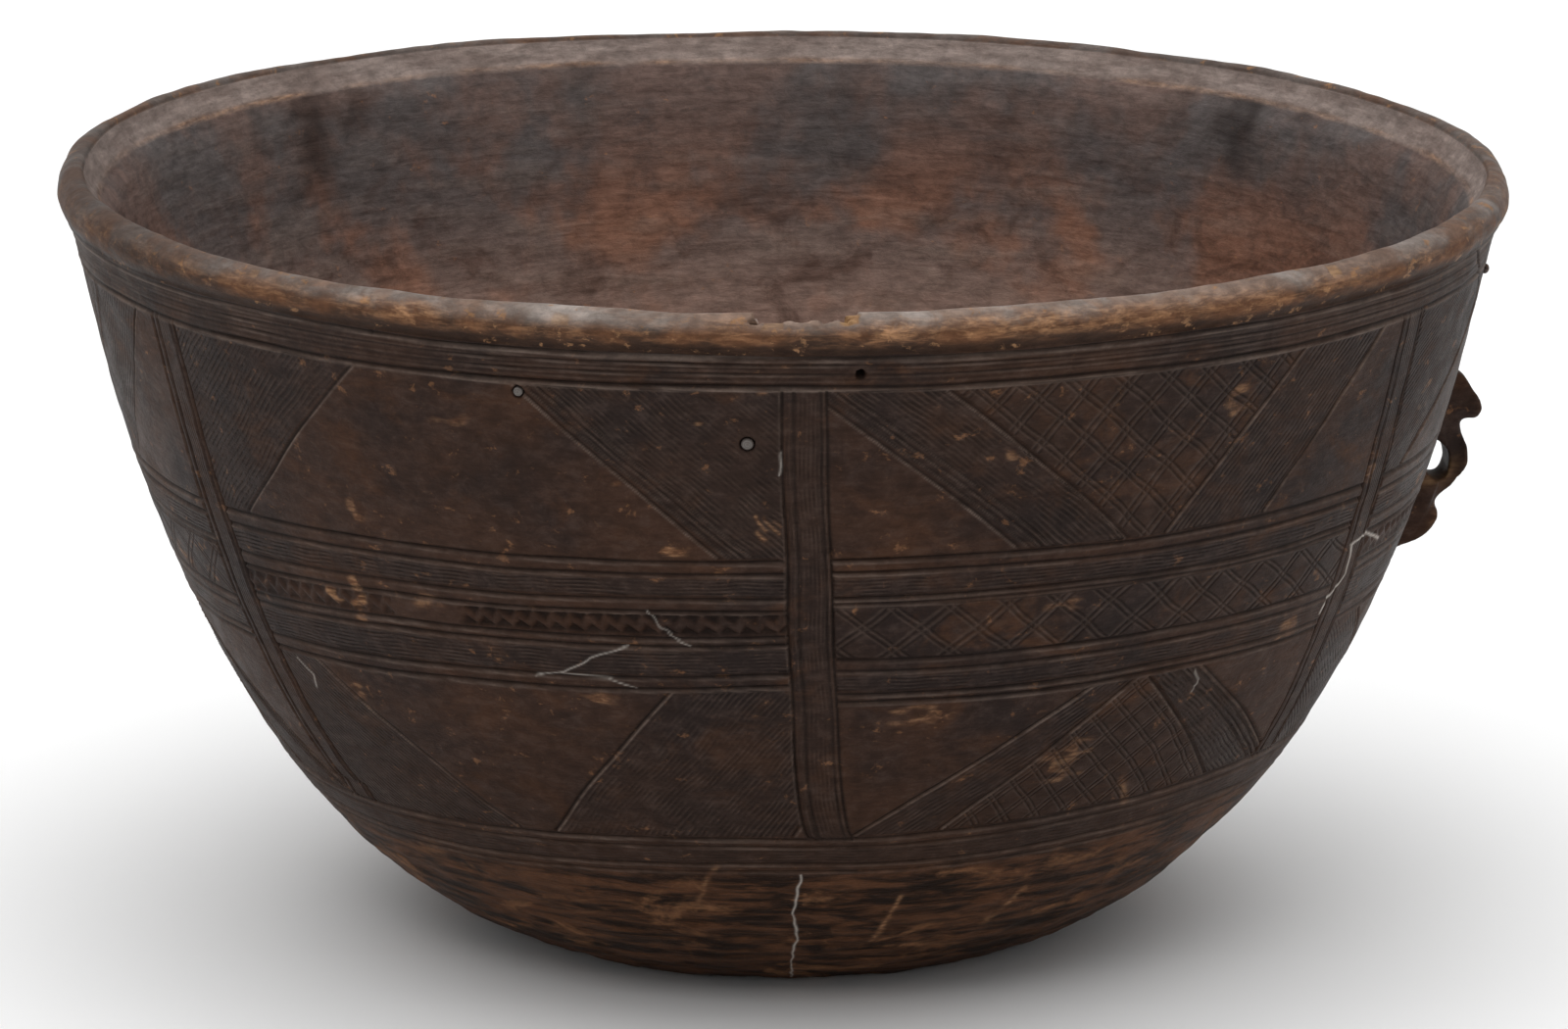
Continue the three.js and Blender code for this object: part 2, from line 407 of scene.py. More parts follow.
def cross_cuts(first, second, gap, where):
    """Two families of paired cuts: their phases are stored, and the shader cuts them."""
    global lattice_a, lattice_b, lattice_mark, lattice_gap
    inside = where > 0.02
    lattice_a = np.where(inside, first, lattice_a)
    lattice_b = np.where(inside, second, lattice_b)
    lattice_gap = np.where(inside, gap, lattice_gap)
    lattice_mark = np.maximum(lattice_mark, where)


def carve_belt_lattice(share, deep, within, across, width):
    """A lattice that slants more one way than the other, between the level lines."""
    field = within * window(0.315, 0.68, share, 0.015)
    down, along = share * deep, across * width
    cross_cuts((along - down * 1.05) / 17.0, (along + down * 1.25) / 19.0, 0.085, field)


def carve_belt_chips(share, deep, within, across, width):
    """Two rows of three-cornered chips that leave a zigzag ridge between them."""
    global height_field, painted_cut_shade
    pitch = 6.2
    middle = 0.485
    half = 3.7
    up = (middle - share) * deep
    phase = across * width / pitch
    saw = 2.0 * np.abs((phase % 1.0) - 0.5) * 2.0 - 1.0
    ridge = 1.5 * saw
    skewed = np.abs(up - ridge) * 0.75
    row = within * window(-half, half, up, 0.7)
    pause = 1.0 - window(0.34, 0.49, across, 0.02)
    strength = np.where(across < 0.35, 0.55, 1.0) * pause
    pit = np.clip(skewed - 0.45, 0.0, 1.6)
    height_field = height_field - row * strength * pit * 0.85
    # painted shade in the chips
    painted_cut_shade = np.maximum(painted_cut_shade, row * strength * smooth(0.5, 1.5, pit) * 0.8)


def carve_register(design, across, width, inside, foot, top, pitch, cell):
    """Diagonals, hatched fields and lattices between two level lines of a panel."""
    global height_field
    tall = top - foot
    share_up = (arc_s - foot) / tall
    inside = inside * window(foot + 1.0, top - 1.0, arc_s, 0.8)
    distances = []
    for at_top, at_foot in design["lines"]:
        middle = at_foot + (at_top - at_foot) * share_up
        slope = (at_top - at_foot) * width / tall
        distances.append((across - middle) * width / np.sqrt(1.0 + slope ** 2))
    lower_sides = [-1.0 if at_foot > at_top else 1.0 for at_top, at_foot in design["lines"]]
    for distance, lower_side in zip(distances, lower_sides):
        carve_line(distance, 0.62, 0.9, inside, lower_side, 1.5)
    borders = [None] + distances + [None]
    for number, kind in enumerate(design["fields"]):
        left, right = borders[number], borders[number + 1]
        field = inside * 1.0
        if left is not None:
            field = field * smooth(0.7, 1.5, left)
        if right is not None:
            field = field * smooth(0.7, 1.5, -right)
        if kind == "plain":
            continue
        height_field = height_field - 0.22 * smooth(0.0, 0.6, field)
        if kind.startswith("hatch"):
            guide = distances[int(kind[-1])]
            hatch(guide, pitch, field)
            steps = (1, 2, 3) if int(kind[-1]) in design["bold"] else ()
            for step in steps:
                side = 1.0 if left is guide else -1.0
                lower_side = lower_sides[int(kind[-1])]
                carve_line(guide - side * step * pitch * 1.45, 0.45, 0.55, field, lower_side)
        else:
            cross_cuts(left / cell, right / cell, 0.10, field)


for panel in range(6):
    across, width, inside, slanted = panel_coordinates(panel)
    lattice = panel % 2 == 1
    share, deep, within, belt_top = carve_belt(panel, lattice, across, inside)
    if lattice:
        carve_belt_lattice(share, deep, within, across, width)
        upper, lower = UPPER_LATTICE, LOWER_LATTICE
    else:
        carve_belt_chips(share, deep, within, across, width)
        upper, lower = UPPER_HATCHED, LOWER_HATCHED
    carve_register(upper, slanted, width, inside, belt_top, rim_line, 1.75, 10.6)
    carve_register(lower, slanted, width, inside, foot_line, belt_top - deep, 1.6, 8.4)

# the upright bands, from the rim line down to the foot lines
in_reach = window(foot_line - 1.0, rim_line, arc_s)
for place in bands:
    near = in_reach * (np.abs(place) < 12)
    for offset, depth, shine in ((-6.9, 1.1, 0.5), (6.9, 1.1, 0.4), (-3.4, 0.7, 0.2), (5.0, 0.6, 0.2)):
        carve_line(place - offset, 0.62, depth, near, shine=shine)
    hatch(place, 1.35, 0.62 * near * (1 - smooth(5.6, 6.2, np.abs(place))))

hand = ripple(az, arc, 16, 12, 60, 6)
hatch_phase = hatch_phase + 0.22 * hand
lattice_a = lattice_a + 0.035 * hand + 0.06 * ripple(az, arc, 8, 60, 160, 7)
lattice_b = lattice_b + 0.035 * ripple(az, arc, 16, 12, 60, 9) + 0.06 * ripple(az, arc, 8, 60, 160, 10)
hatch_mark = np.clip(hatch_mark, 0, 1) * (1.0 - 0.5 * worn)
lattice_mark = np.clip(lattice_mark, 0, 1)
height_field *= 1.0 - 0.25 * worn

# ---- places on the wall: holes, chips and cracks --------------------

FRONT_PEG = (-98.8, 42.5)      # azimuth, drop below the crest
SIDE_PEG = (-116.5, 28.5)
HOLES = [
    # azimuth, drop below the crest, radius, depth: the two pegs' holes, the empty one, and a nick
    (*FRONT_PEG, 2.3, 2.4),
    (*SIDE_PEG, 1.85, 2.2),
    (-90.3, 19.5, 1.45, 4.5),
    (-128.5, 14.0, 0.7, 0.9),
]


def wall_distance(place_azimuth, drop):
    """Distance in mm from a place on the wall: round the bowl, and up the wall."""
    return away_from(place_azimuth) * mm_per_degree, arc - arc_at(RIM_HEIGHT - drop)


for hole_azimuth, drop, hole_radius, depth in HOLES:
    reach = np.hypot(*wall_distance(hole_azimuth, drop))
    pit = 1.0 - smooth(hole_radius - 0.35, hole_radius + 0.25, reach)
    height_field = height_field * (1 - pit) - depth * pit
    # painted shade in the hole
    painted_cut_shade = np.maximum(painted_cut_shade, pit)
    hatch_mark *= 1 - pit

# ---- heights over the whole skin ------------------------------------

rows = len(profile)
skin_height = np.zeros((rows, COLUMNS))
skin_height[wall_rows] = height_field
all_arc = row_length[:, None]

# the shape is hewn by eye: the outside swells and dips by a millimetre or so
skin_height += 0.55 * ripple(az, all_arc, 10, 90, 400, 11, 1.5) * smooth(60, 110, all_arc)
skin_height += 0.10 * ripple(az, all_arc, 30, 9, 40, 12, 1.8)

# rim: a rolled edge worn uneven
rim_mask = np.isin(zone_of_row, (ROLL, BEVEL))[:, None]
rim_wear = 0.35 * ripple(az, all_arc, 12, 40, 160, 13) + 0.12 * ripple(az, all_arc, 24, 8, 24, 14)
skin_height += rim_mask * rim_wear

# inside: shallow gouge marks in level rows
inside_mask = np.isin(zone_of_row, (INSIDE, FLOOR))[:, None]
inside_mask = inside_mask * smooth(0, 8, all_arc - row_length[np.flatnonzero(zone_of_row == BEVEL)[-1]])
gouges = np.abs(ripple(az, all_arc, 20, 7, 16, 15, 5.0))
skin_height += inside_mask * (0.35 * gouges + 0.5 * ripple(az, all_arc, 10, 60, 200, 16, 2.0))

# the worn foot: scrapes that run round the bowl
foot_share = 1 - smooth(72, 98, all_arc - wall_start)
foot_share = foot_share * (zone_of_row[:, None] == WALL)
scrapes = 0.22 * ripple(az, all_arc, 40, 5, 22, 17, 3.5) + 0.25 * ripple(az, all_arc, 16, 20, 60, 18, 2.0)
skin_height += foot_share * scrapes

# broken inner edge of the rim, a smaller bite beside it, and the flake on the right
chip_mark = np.zeros((rows, COLUMNS))
broken = np.zeros((rows, COLUMNS))
CHIPS = [
    # azimuth, half width in degrees, distance from the inner edge in mm, reach, depth, raw wood
    (-94.6, 3.7, 0.0, 8.5, 4.2, 0.06),
    (-91.2, 0.75, -3.5, 6.0, 1.0, 0.95),
    (-49.6, 0.60, -7.0, 3.0, 0.8, 0.60),
    (-112.5, 0.65, -9.5, 1.8, 0.4, 0.35),
    (-96.8, 0.75, -9.0, 1.7, 0.4, 0.45),
    (-140.0, 0.5, -7.0, 1.6, 0.5, 0.3),
]
edge_row = np.flatnonzero(zone_of_row == BEVEL)[0]
for chip_azimuth, half, place, reach, depth, raw in CHIPS:
    away = np.abs(away_from(chip_azimuth)) / half
    ragged = 1.0 + 0.12 * ripple(az, all_arc, 12, 3, 9, 19)
    across_edge = np.abs(all_arc - row_length[edge_row] - place) / reach
    bite = (1 - smooth(0.93, 1.0, away * ragged)) * (1 - smooth(0.72, 1.0, across_edge * ragged))
    skin_height -= bite * depth
    chip_mark = np.maximum(chip_mark, raw * bite)
    broken = np.maximum(broken, (depth > 2.0) * bite)

# ---- marks of age: rubbed rim, fibres, scratches, cracks and stains; painted shade in the holes and a painted highlight on the bevel's edge ----

bare_and_lit_mark = 0.30 * broken
pale_mark = np.zeros((rows, COLUMNS))
stain_and_shade_mark = 0.35 * broken
roll_rows = np.flatnonzero(zone_of_row == ROLL)
roll_share = np.zeros(rows)
roll_share[roll_rows] = np.linspace(0, 1, len(roll_rows))
RUBBED_MIDDLE = -96.0    # azimuth where hands have worn the rim most
rubbed_at = 0.22 + 0.60 * bell(away_from(RUBBED_MIDDLE), 34.0)
rubbed_at = rubbed_at * (0.55 + 0.75 * ripple(az, all_arc, 18, 12, 90, 21))
across_roll = window(0.20, 0.72, roll_share, 0.20, 0.26)
bare_and_lit_mark += (zone_of_row == ROLL)[:, None] * np.clip(across_roll[:, None] * rubbed_at, 0, 1)

# marks stray a little from their line
stray = 0.6 * ripple(az, arc, 12, 7, 30, 24)


def stroke(places, width):
    """How near each point of the wall is to a line through places (azimuth, height)."""
    nearest = np.full((len(wall_rows), COLUMNS), 99.0)
    for (az_a, up_a), (az_b, up_b) in zip(places[:-1], places[1:]):
        x = away_from(az_a) * mm_per_degree + stray
        y = arc - arc_at(up_a)
        x_b = (az_b - az_a) * mm_per_degree
        y_b = arc_at(up_b) - arc_at(up_a)
        share = np.clip((x * x_b + y * y_b) / (x_b ** 2 + y_b ** 2), 0, 1)
        nearest = np.minimum(nearest, np.hypot(x - share * x_b, y - share * y_b))
    return bell(nearest, width)


FIBRES = [
    # places (azimuth, height), width in mm, how pale
    ([(-118.2, 128.8), (-115.5, 131.0), (-112.8, 136.9), (-109.2, 141.8)], 0.27, 0.45),
    ([(-116.0, 130.6), (-111.5, 130.0), (-109.0, 127.0)], 0.27, 0.38),
    ([(-107.5, 154.6), (-106.2, 148.5), (-104.0, 142.9)], 0.27, 0.38),
    ([(-38.5, 128.8), (-38.2, 133.7), (-36.2, 140.7), (-37.0, 151.4), (-34.5, 153.0), (-30.5, 148.2)],
     0.42, 0.8),
    ([(-94.3, 57.0), (-94.9, 40.0), (-94.2, 28.0), (-94.9, 14.0), (-94.6, 3.0)], 0.34, 0.6),
    ([(-147.2, 117.8), (-145.6, 113.0), (-146.0, 108.4)], 0.34, 0.40),
    ([(-96.3, 209.5), (-96.35, 202.0)], 0.28, 0.4),
    ([(-55.6, 121.0), (-54.9, 117.0), (-55.4, 113.0)], 0.30, 0.40),
]
SCRATCHES = [
    ([(-82.2, 45.8), (-84.0, 25.1)], 1.0, 0.7),
    ([(-103.5, 60.0), (-107.0, 40.0)], 0.9, 0.4),
    ([(-60.0, 85.0), (-58.0, 74.0)], 1.2, 0.4),
    ([(-66.0, 44.0), (-69.0, 30.0)], 1.3, 0.45),
    ([(-98.3, 188.0), (-97.4, 183.2)], 0.5, 0.6),
    ([(-97.5, 187.6), (-96.5, 182.2)], 0.5, 0.5),
    ([(-98.1, 182.8), (-97.5, 180.2)], 0.6, 0.5),
    ([(-96.7, 186.6), (-96.2, 184.6)], 0.4, 0.4),
]
CRACKS = [
    # places, half width in mm, depth in mm
    ([(-25.0, 241.0), (-19.0, 226.0), (-12.0, 208.0), (-4.5, 187.0)], 0.55, 0.9),
    ([(168.0, 241.0), (169.5, 228.0), (168.5, 205.0)], 0.6, 1.0),
]


def raise_mark(mark, values):
    """Keeps the stronger of a mark and new values on the wall."""
    mark[wall_rows] = np.maximum(mark[wall_rows], values)


def round_spot(spot_azimuth, spot_height, half_along, half_up):
    """A round or oval spot on the wall, 1 in its middle."""
    along, up = wall_distance(spot_azimuth, RIM_HEIGHT - spot_height)
    return np.exp(-(along / half_along) ** 2 - (up / half_up) ** 2)


for places, width, strength in FIBRES:
    near = stroke(places, width)
    raise_mark(pale_mark, strength * near)
    skin_height[wall_rows] += 0.18 * near
for places, width, strength in SCRATCHES:
    raise_mark(bare_and_lit_mark, strength * stroke(places, width))
for places, width, depth in CRACKS:
    near = stroke(places, width)
    skin_height[wall_rows] -= depth * near
    raise_mark(stain_and_shade_mark, 0.85 * near)
# painted shade in the holes and in a ring round their edge
for hole_azimuth, drop, hole_radius, _ in HOLES:
    reach = np.hypot(*wall_distance(hole_azimuth, drop))
    ring = bell(reach - hole_radius, 0.35)
    inside_hole = reach < hole_radius
    raise_mark(stain_and_shade_mark, np.maximum(0.3 * ring, inside_hole * 0.95))

SPOTS = [
    # azimuth, height, half length along the bowl, half height, how bare
    (-135.6, 144.5, 4.0, 11.0, 0.8), (-138.5, 146.0, 5.0, 3.5, 0.6), (-134.0, 178.0, 3.0, 6.0, 0.35),
    (-104.6, 175.5, 5.0, 2.6, 0.7),
    (-109.3, 198.0, 2.5, 4.0, 0.55), (-95.3, 237.0, 4.0, 2.5, 0.6), (-97.6, 230.0, 3.0, 2.0, 0.55),
    (-102.5, 220.0, 2.0, 2.0, 0.5), (-58.0, 214.0, 7.0, 7.0, 0.45), (-123.0, 215.0, 9.0, 3.0, 0.35),
    (-134.0, 176.0, 9.0, 2.5, 0.5), (-128.0, 151.0, 8.0, 4.0, 0.35), (-113.0, 122.5, 10.0, 3.0, 0.5),
    (-84.0, 118.0, 12.0, 5.0, 0.35), (-68.0, 96.0, 10.0, 12.0, 0.35), (-139.5, 110.0, 4.0, 12.0, 0.4),
    (-78.0, 206.0, 3.0, 2.0, 0.4), (-72.0, 153.0, 8.0, 3.0, 0.35), (-38.0, 178.0, 4.0, 16.0, 0.4),
    (-30.0, 196.0, 5.0, 10.0, 0.4), (-22.0, 160.0, 6.0, 7.0, 0.35), (-44.0, 128.0, 7.0, 7.0, 0.45),
    (40.0, 190.0, 9.0, 5.0, 0.5), (72.0, 120.0, 12.0, 7.0, 0.4), (110.0, 205.0, 8.0, 4.0, 0.5),
    (128.0, 150.0, 9.0, 4.0, 0.4), (165.0, 185.0, 6.0, 10.0, 0.4), (-165.0, 140.0, 8.0, 5.0, 0.4),
]
torn = 0.55 + 0.55 * ripple(az, arc, 26, 3.5, 14, 25, 1.5)
for *place, strength in SPOTS:
    raise_mark(bare_and_lit_mark, strength * smooth(0.25, 0.62, round_spot(*place) * np.clip(torn, 0, 1)))
STAINS = [(-97.2, 203.0, 5.0, 6.0, 0.5), (-118.0, 205.0, 9.0, 12.0, 0.2), (-75.0, 185.0, 20.0, 14.0, 0.2)]
for *place, strength in STAINS:
    raise_mark(stain_and_shade_mark, strength * round_spot(*place))

# water has run down inside from the rim
DRIPS = [
    # azimuth, half width in degrees, how far down in mm, how dark
    (132.5, 2.6, 62.0, 0.75), (126.0, 1.8, 40.0, 0.5), (139.0, 1.2, 30.0, 0.4), (37.5, 2.4, 52.0, 0.75),
    (45.5, 1.5, 34.0, 0.5), (30.0, 1.4, 28.0, 0.4), (103.0, 2.0, 75.0, 0.22), (78.0, 2.6, 90.0, 0.18),
    (62.0, 1.5, 60.0, 0.2), (-60.0, 3.0, 70.0, 0.4), (-130.0, 2.0, 50.0, 0.4), (175.0, 2.2, 60.0, 0.3),
]
ragged = ripple(az, all_arc, 14, 8, 40, 22)
for drip_azimuth, width, reach, strength in DRIPS:
    away = away_from(drip_azimuth) + 0.9 * ragged
    down = all_arc - row_length[edge_row] + 7.0 * ragged
    drip = bell(away, width) * window(4, reach, down, 8, 0.65 * reach)
    stain_and_shade_mark += (zone_of_row[:, None] > BEVEL) * strength * drip * 0.85

# the lower edge of the bevel is a thin light line: rubbed wood with a painted highlight on the edge
bevel_foot = row_length[np.flatnonzero(zone_of_row == BEVEL)[-1]]
unbroken = np.clip(0.55 + 0.6 * ripple(az, all_arc, 16, 15, 120, 26), 0, 1)
worn_and_lit_edge = bell(all_arc - bevel_foot, 0.9) * unbroken
bare_and_lit_mark += 0.6 * worn_and_lit_edge * (zone_of_row[:, None] >= BEVEL)

# hands and hearth smoke have darkened the far left of the rim
far_left = bell(away_from(190.0), 26.0)
stain_and_shade_mark += np.isin(zone_of_row, (ROLL, BEVEL))[:, None] * 0.42 * far_left

# ---- the lug's root swells out of the wall --------------------------

LUG_HALF_WIDTH = 12.0
lug_along = away_from(0.0) * mm_per_degree
for up_low, up_high in ((13.0, 31.0), (-29.0, -9.0)):
    low, high = arc_at(HOLE_HEIGHT + up_low), arc_at(HOLE_HEIGHT + up_high)
    off_side = np.maximum(np.abs(lug_along) - LUG_HALF_WIDTH * 0.72, 0.0)
    off_level = np.maximum(np.maximum(low - arc, arc - high), 0.0)
    swell = 2.6 * np.exp(-(np.hypot(off_side, off_level) / 3.0) ** 1.3)
    skin_height[wall_rows] += swell
beside_lug = np.exp(-(np.maximum(np.abs(lug_along) - 13, 0) / 3) ** 2)
level_with_lug = window(HOLE_HEIGHT - 40, HOLE_HEIGHT + 38, wall_height, 8, 6)
plain_by_lug = 1 - beside_lug * level_with_lug[:, None]
hatch_mark *= plain_by_lug
lattice_mark *= plain_by_lug


# the rim is not level: it stands a few mm higher at the back left
RIM_LIFTS = [(-178.0, 1.5), (-120.0, 0.0), (0.0, 0.2), (45.0, 1.2), (84.0, 2.2), (127.0, 4.0), (160.0, 4.2)]
rim_lift = round_the_ring(azimuth, [a for a, _ in RIM_LIFTS], [lift for _, lift in RIM_LIFTS])


def placed(name, data):
    """A new object, in the scene."""
    made = bpy.data.objects.new(name, data)
    bpy.context.scene.collection.objects.link(made)
    return made


def read_all(items, name, size=1, kind=np.int32):
    """One value, or a few, from every point, corner or face of a mesh."""
    values = np.zeros(len(items) * size, kind)
    items.foreach_get(name, values)
    return values


def set_uv(mesh, u, v):
    layer = mesh.uv_layers.new(name="OFBake")
    layer.data.foreach_set("uv", np.c_[u, v].astype(np.float32).ravel())


def grid_to_mesh(name):
    """The closed skin of the vessel."""
    turn = np.radians(azimuth)[None, :]
    out = profile[:, 0:1] + row_normal[:, 0:1] * skin_height
    up = profile[:, 1:2] + row_normal[:, 1:2] * skin_height
    up = up + rim_lift[None, :] * smooth(120.0, RIM_HEIGHT, profile[:, 1:2])
    up = np.where(zone_of_row[:, None] == FOOT, np.maximum(up, 0.0), up)
    body = slice(1, rows - 1)
    x = (out[body] * np.cos(turn)).ravel()
    y = (out[body] * np.sin(turn)).ravel()
    z = np.broadcast_to(np.maximum(up[body], 0.0), out[body].shape).ravel()
    points = np.c_[x, y, z]
    poles = np.array([[0, 0, 0], [0, 0, FLOOR_THICKNESS]])
    points = np.concatenate([points, poles]) * MM
    inner_rows = rows - 2
    first = np.arange(inner_rows - 1)[:, None] * COLUMNS + np.arange(COLUMNS)[None, :]
    second = np.arange(inner_rows - 1)[:, None] * COLUMNS + (np.arange(COLUMNS)[None, :] + 1) % COLUMNS
    quads = np.stack([first, second, second + COLUMNS, first + COLUMNS], -1).reshape(-1, 4)
    under, over = len(points) - 2, len(points) - 1
    ring = np.arange(COLUMNS)
    following = (ring + 1) % COLUMNS
    low_fan = np.stack([np.full(COLUMNS, under), following, ring], -1)
    last = (inner_rows - 1) * COLUMNS
    top_fan = np.stack([np.full(COLUMNS, over), last + ring, last + following], -1)

    mesh = bpy.data.meshes.new(name)
    loops = np.concatenate([quads.ravel(), low_fan.ravel(), top_fan.ravel()])
    sizes = np.concatenate([np.full(len(quads), 4), np.full(2 * COLUMNS, 3)])
    mesh.vertices.add(len(points))
    mesh.vertices.foreach_set("co", points.astype(np.float32).ravel())
    mesh.loops.add(len(loops))
    mesh.loops.foreach_set("vertex_index", loops.astype(np.int32))
    mesh.polygons.add(len(sizes))
    mesh.polygons.foreach_set("loop_start", np.r_[0, np.cumsum(sizes)[:-1]].astype(np.int32))
    mesh.update(calc_edges=True)
    mesh.shade_smooth()
    return mesh


def store(mesh, name, values):
    """A value, or three, for each point of a mesh."""
    values = np.asarray(values, np.float32)
    kind = "FLOAT_VECTOR" if values.ndim == 2 else "FLOAT"
    layer = mesh.attributes.new(name, kind, "POINT")
    layer.data.foreach_set("vector" if values.ndim == 2 else "value", values.ravel())


def on_skin(values):
    """Spreads a field of the wall, or of the whole skin, over the mesh's points."""
    if values.shape == height_field.shape:
        field = np.zeros((rows, COLUMNS))
        field[wall_rows] = values
    else:
        field = np.broadcast_to(values, (rows, COLUMNS))
    return np.concatenate([field[1:-1].ravel(), field[0, :1], field[-1, :1]])


def skin_fields(mesh):
    """What the shader reads: phases and amounts of the carving, and the zones of wear."""
    in_zone = [(zone_of_row == zone)[:, None] * 1.0 for zone in range(6)]
    inner = in_zone[BEVEL] + in_zone[INSIDE] + in_zone[FLOOR]
    below = arc_at(round_the_ring(az, STATIONS, FOOT_LINE) - 12.0)
    sole = np.maximum(1 - smooth(-9.0, 4.0, all_arc - wall_start - below), in_zone[FOOT])
    sole = sole * (zone_of_row[:, None] <= WALL)
    # the front of the rim: most worn there, and its painted highlight is brightest there
    front = 0.15 + 0.85 * bell(away_from(-88.0), 48.0)
    fields = {
        "phase": (hatch_phase, lattice_a, lattice_b),
        "carved": (hatch_mark, lattice_mark, painted_cut_shade),
        "zone": (in_zone[ROLL], inner, sole),
        "edges": (chip_mark, in_zone[BEVEL], worn),
        "tone": (bare_and_lit_mark, pale_mark, stain_and_shade_mark),
    }
    for name, values in fields.items():
        store(mesh, name, np.stack([on_skin(field) for field in values], 1))
    for name, field in (("gap", lattice_gap), ("lip", painted_lip_highlight), ("wear_and_painted_light", front)):
        store(mesh, name, on_skin(field))
    store(mesh, "round_roll", on_skin(roll_share[:, None]))


def grid_uv(mesh):
    """Unrolls the skin: azimuth across, length along the profile up."""
    vertex = read_all(mesh.loops, "vertex_index")
    body_count = (rows - 2) * COLUMNS
    column = vertex % COLUMNS
    row = vertex // COLUMNS + 1
    is_body = vertex < body_count
    u = column / COLUMNS
    v = np.where(is_body, row_length[np.clip(row, 0, rows - 1)], 0.0) / row_length[-1]
    v = np.where(vertex == body_count, 0.0, v)
    v = np.where(vertex == body_count + 1, 1.0, v) * 0.93
    faces = len(mesh.polygons)
    face = np.repeat(np.arange(faces), read_all(mesh.polygons, "loop_total"))
    # faces that close the ring, then the corners on the axis
    highest = np.zeros(faces)
    np.maximum.at(highest, face, np.where(is_body, u, 0.0))
    wraps = (highest[face] > 0.75) & (u < 0.25)
    u = np.where(wraps, u + 1.0, u)
    mean = np.zeros(faces)
    np.add.at(mean, face, np.where(is_body, u, 0.0))
    bodies = np.zeros(faces)
    np.add.at(bodies, face, is_body.astype(float))
    u = np.where(is_body, u, mean[face] / bodies[face])
    set_uv(mesh, u * 0.995, v)


skin_mesh = grid_to_mesh("carved_bowl")
skin_fields(skin_mesh)
grid_uv(skin_mesh)
carved_bowl = placed("carved_bowl", skin_mesh)


# ---- the lug --------------------------------------------------------

LUG_OUTLINE = [
    # out from the wall, up from the middle of the hole
    (-6.0, 31.2), (4.0, 30.4), (9.5, 26.5), (14.6, 21.2), (17.2, 16.4), (16.6, 13.4), (11.3, 12.9),
    (13.4, 9.0), (16.8, 4.2), (18.6, -1.5), (18.2, -7.0), (16.0, -10.8), (13.2, -15.0),
    (15.4, -18.6), (15.6, -22.4), (12.6, -26.6), (6.5, -29.0), (-6.0, -29.3),
]
LUG_HOLE_OUT = 7.2
LUG_HOLE_HALF_OUT = 4.6
LUG_HOLE_HALF_HEIGHT = 7.2
LUG_WALL_RADIUS = float(radius_at(HOLE_HEIGHT))


def closed_curve(corners, per_side):
    """A smooth closed line through the corners."""
    corners = np.asarray(corners, float)
    t = np.linspace(0, 1, per_side, endpoint=False)[:, None]
    stretches = []
    for i in range(len(corners)):
        a, b, c, d = (corners[(i + k) % len(corners)] for k in (-1, 0, 1, 2))
        stretches.append(
            0.5 * (2 * b + (c - a) * t + (2 * a - 5 * b + 4 * c - d) * t ** 2
                   + (3 * b - a - 3 * c + d) * t ** 3)
        )
    return np.concatenate(stretches)


def prism(name, outline, half_width_of):
    """A solid with the outline in the plane of radius and height, wide along Y."""
    count = len(outline)
    half = np.array([half_width_of(x, z) for x, z in outline])
    sides = np.linspace(-1, 1, 13)
    points, faces = [], []
    for side in sides:
        points += [(x * MM, side * h * MM, z * MM) for (x, z), h in zip(outline, half)]
    for k in range(len(sides) - 1):
        for i in range(count):
            j = (i + 1) % count
            faces.append((k * count + i, k * count + j, (k + 1) * count + j, (k + 1) * count + i))
    faces.append(tuple(reversed(range(count))))
    faces.append(tuple((len(sides) - 1) * count + i for i in range(count)))
    mesh = bpy.data.meshes.new(name)
    mesh.from_pydata(points, [], faces)
    mesh.update()
    return placed(name, mesh)


def modelled(name, start, steps):
    """The mesh that is left after a few modifiers."""
    for kind, settings in steps:
        modifier = start.modifiers.new(kind, kind)
        for key, value in settings.items():
            setattr(modifier, key, value)
    evaluated = start.evaluated_get(bpy.context.evaluated_depsgraph_get())
    mesh = bpy.data.meshes.new_from_object(evaluated)
    mesh.name = name
    bpy.data.objects.remove(start)
    return mesh


def lug_half_width(x, z):
    """Half the lug's width: full at the knobs, narrower at its neck and its loop."""
    out = x - float(radius_at(z))
    up = z - HOLE_HEIGHT
    neck = 2.2 * math.exp(-((up - 11.5) / 5.0) ** 2) + 2.6 * math.exp(-((up + 14.0) / 5.0) ** 2)
    taper = 0.14 * max(out, 0.0)
    return 11.4 - neck - taper


def leaning(corners):
    """Corners given from the wall, set on the wall, which falls inwards towards the foot."""
    return [(float(radius_at(HOLE_HEIGHT + up)) + out, HOLE_HEIGHT + up) for out, up in corners]


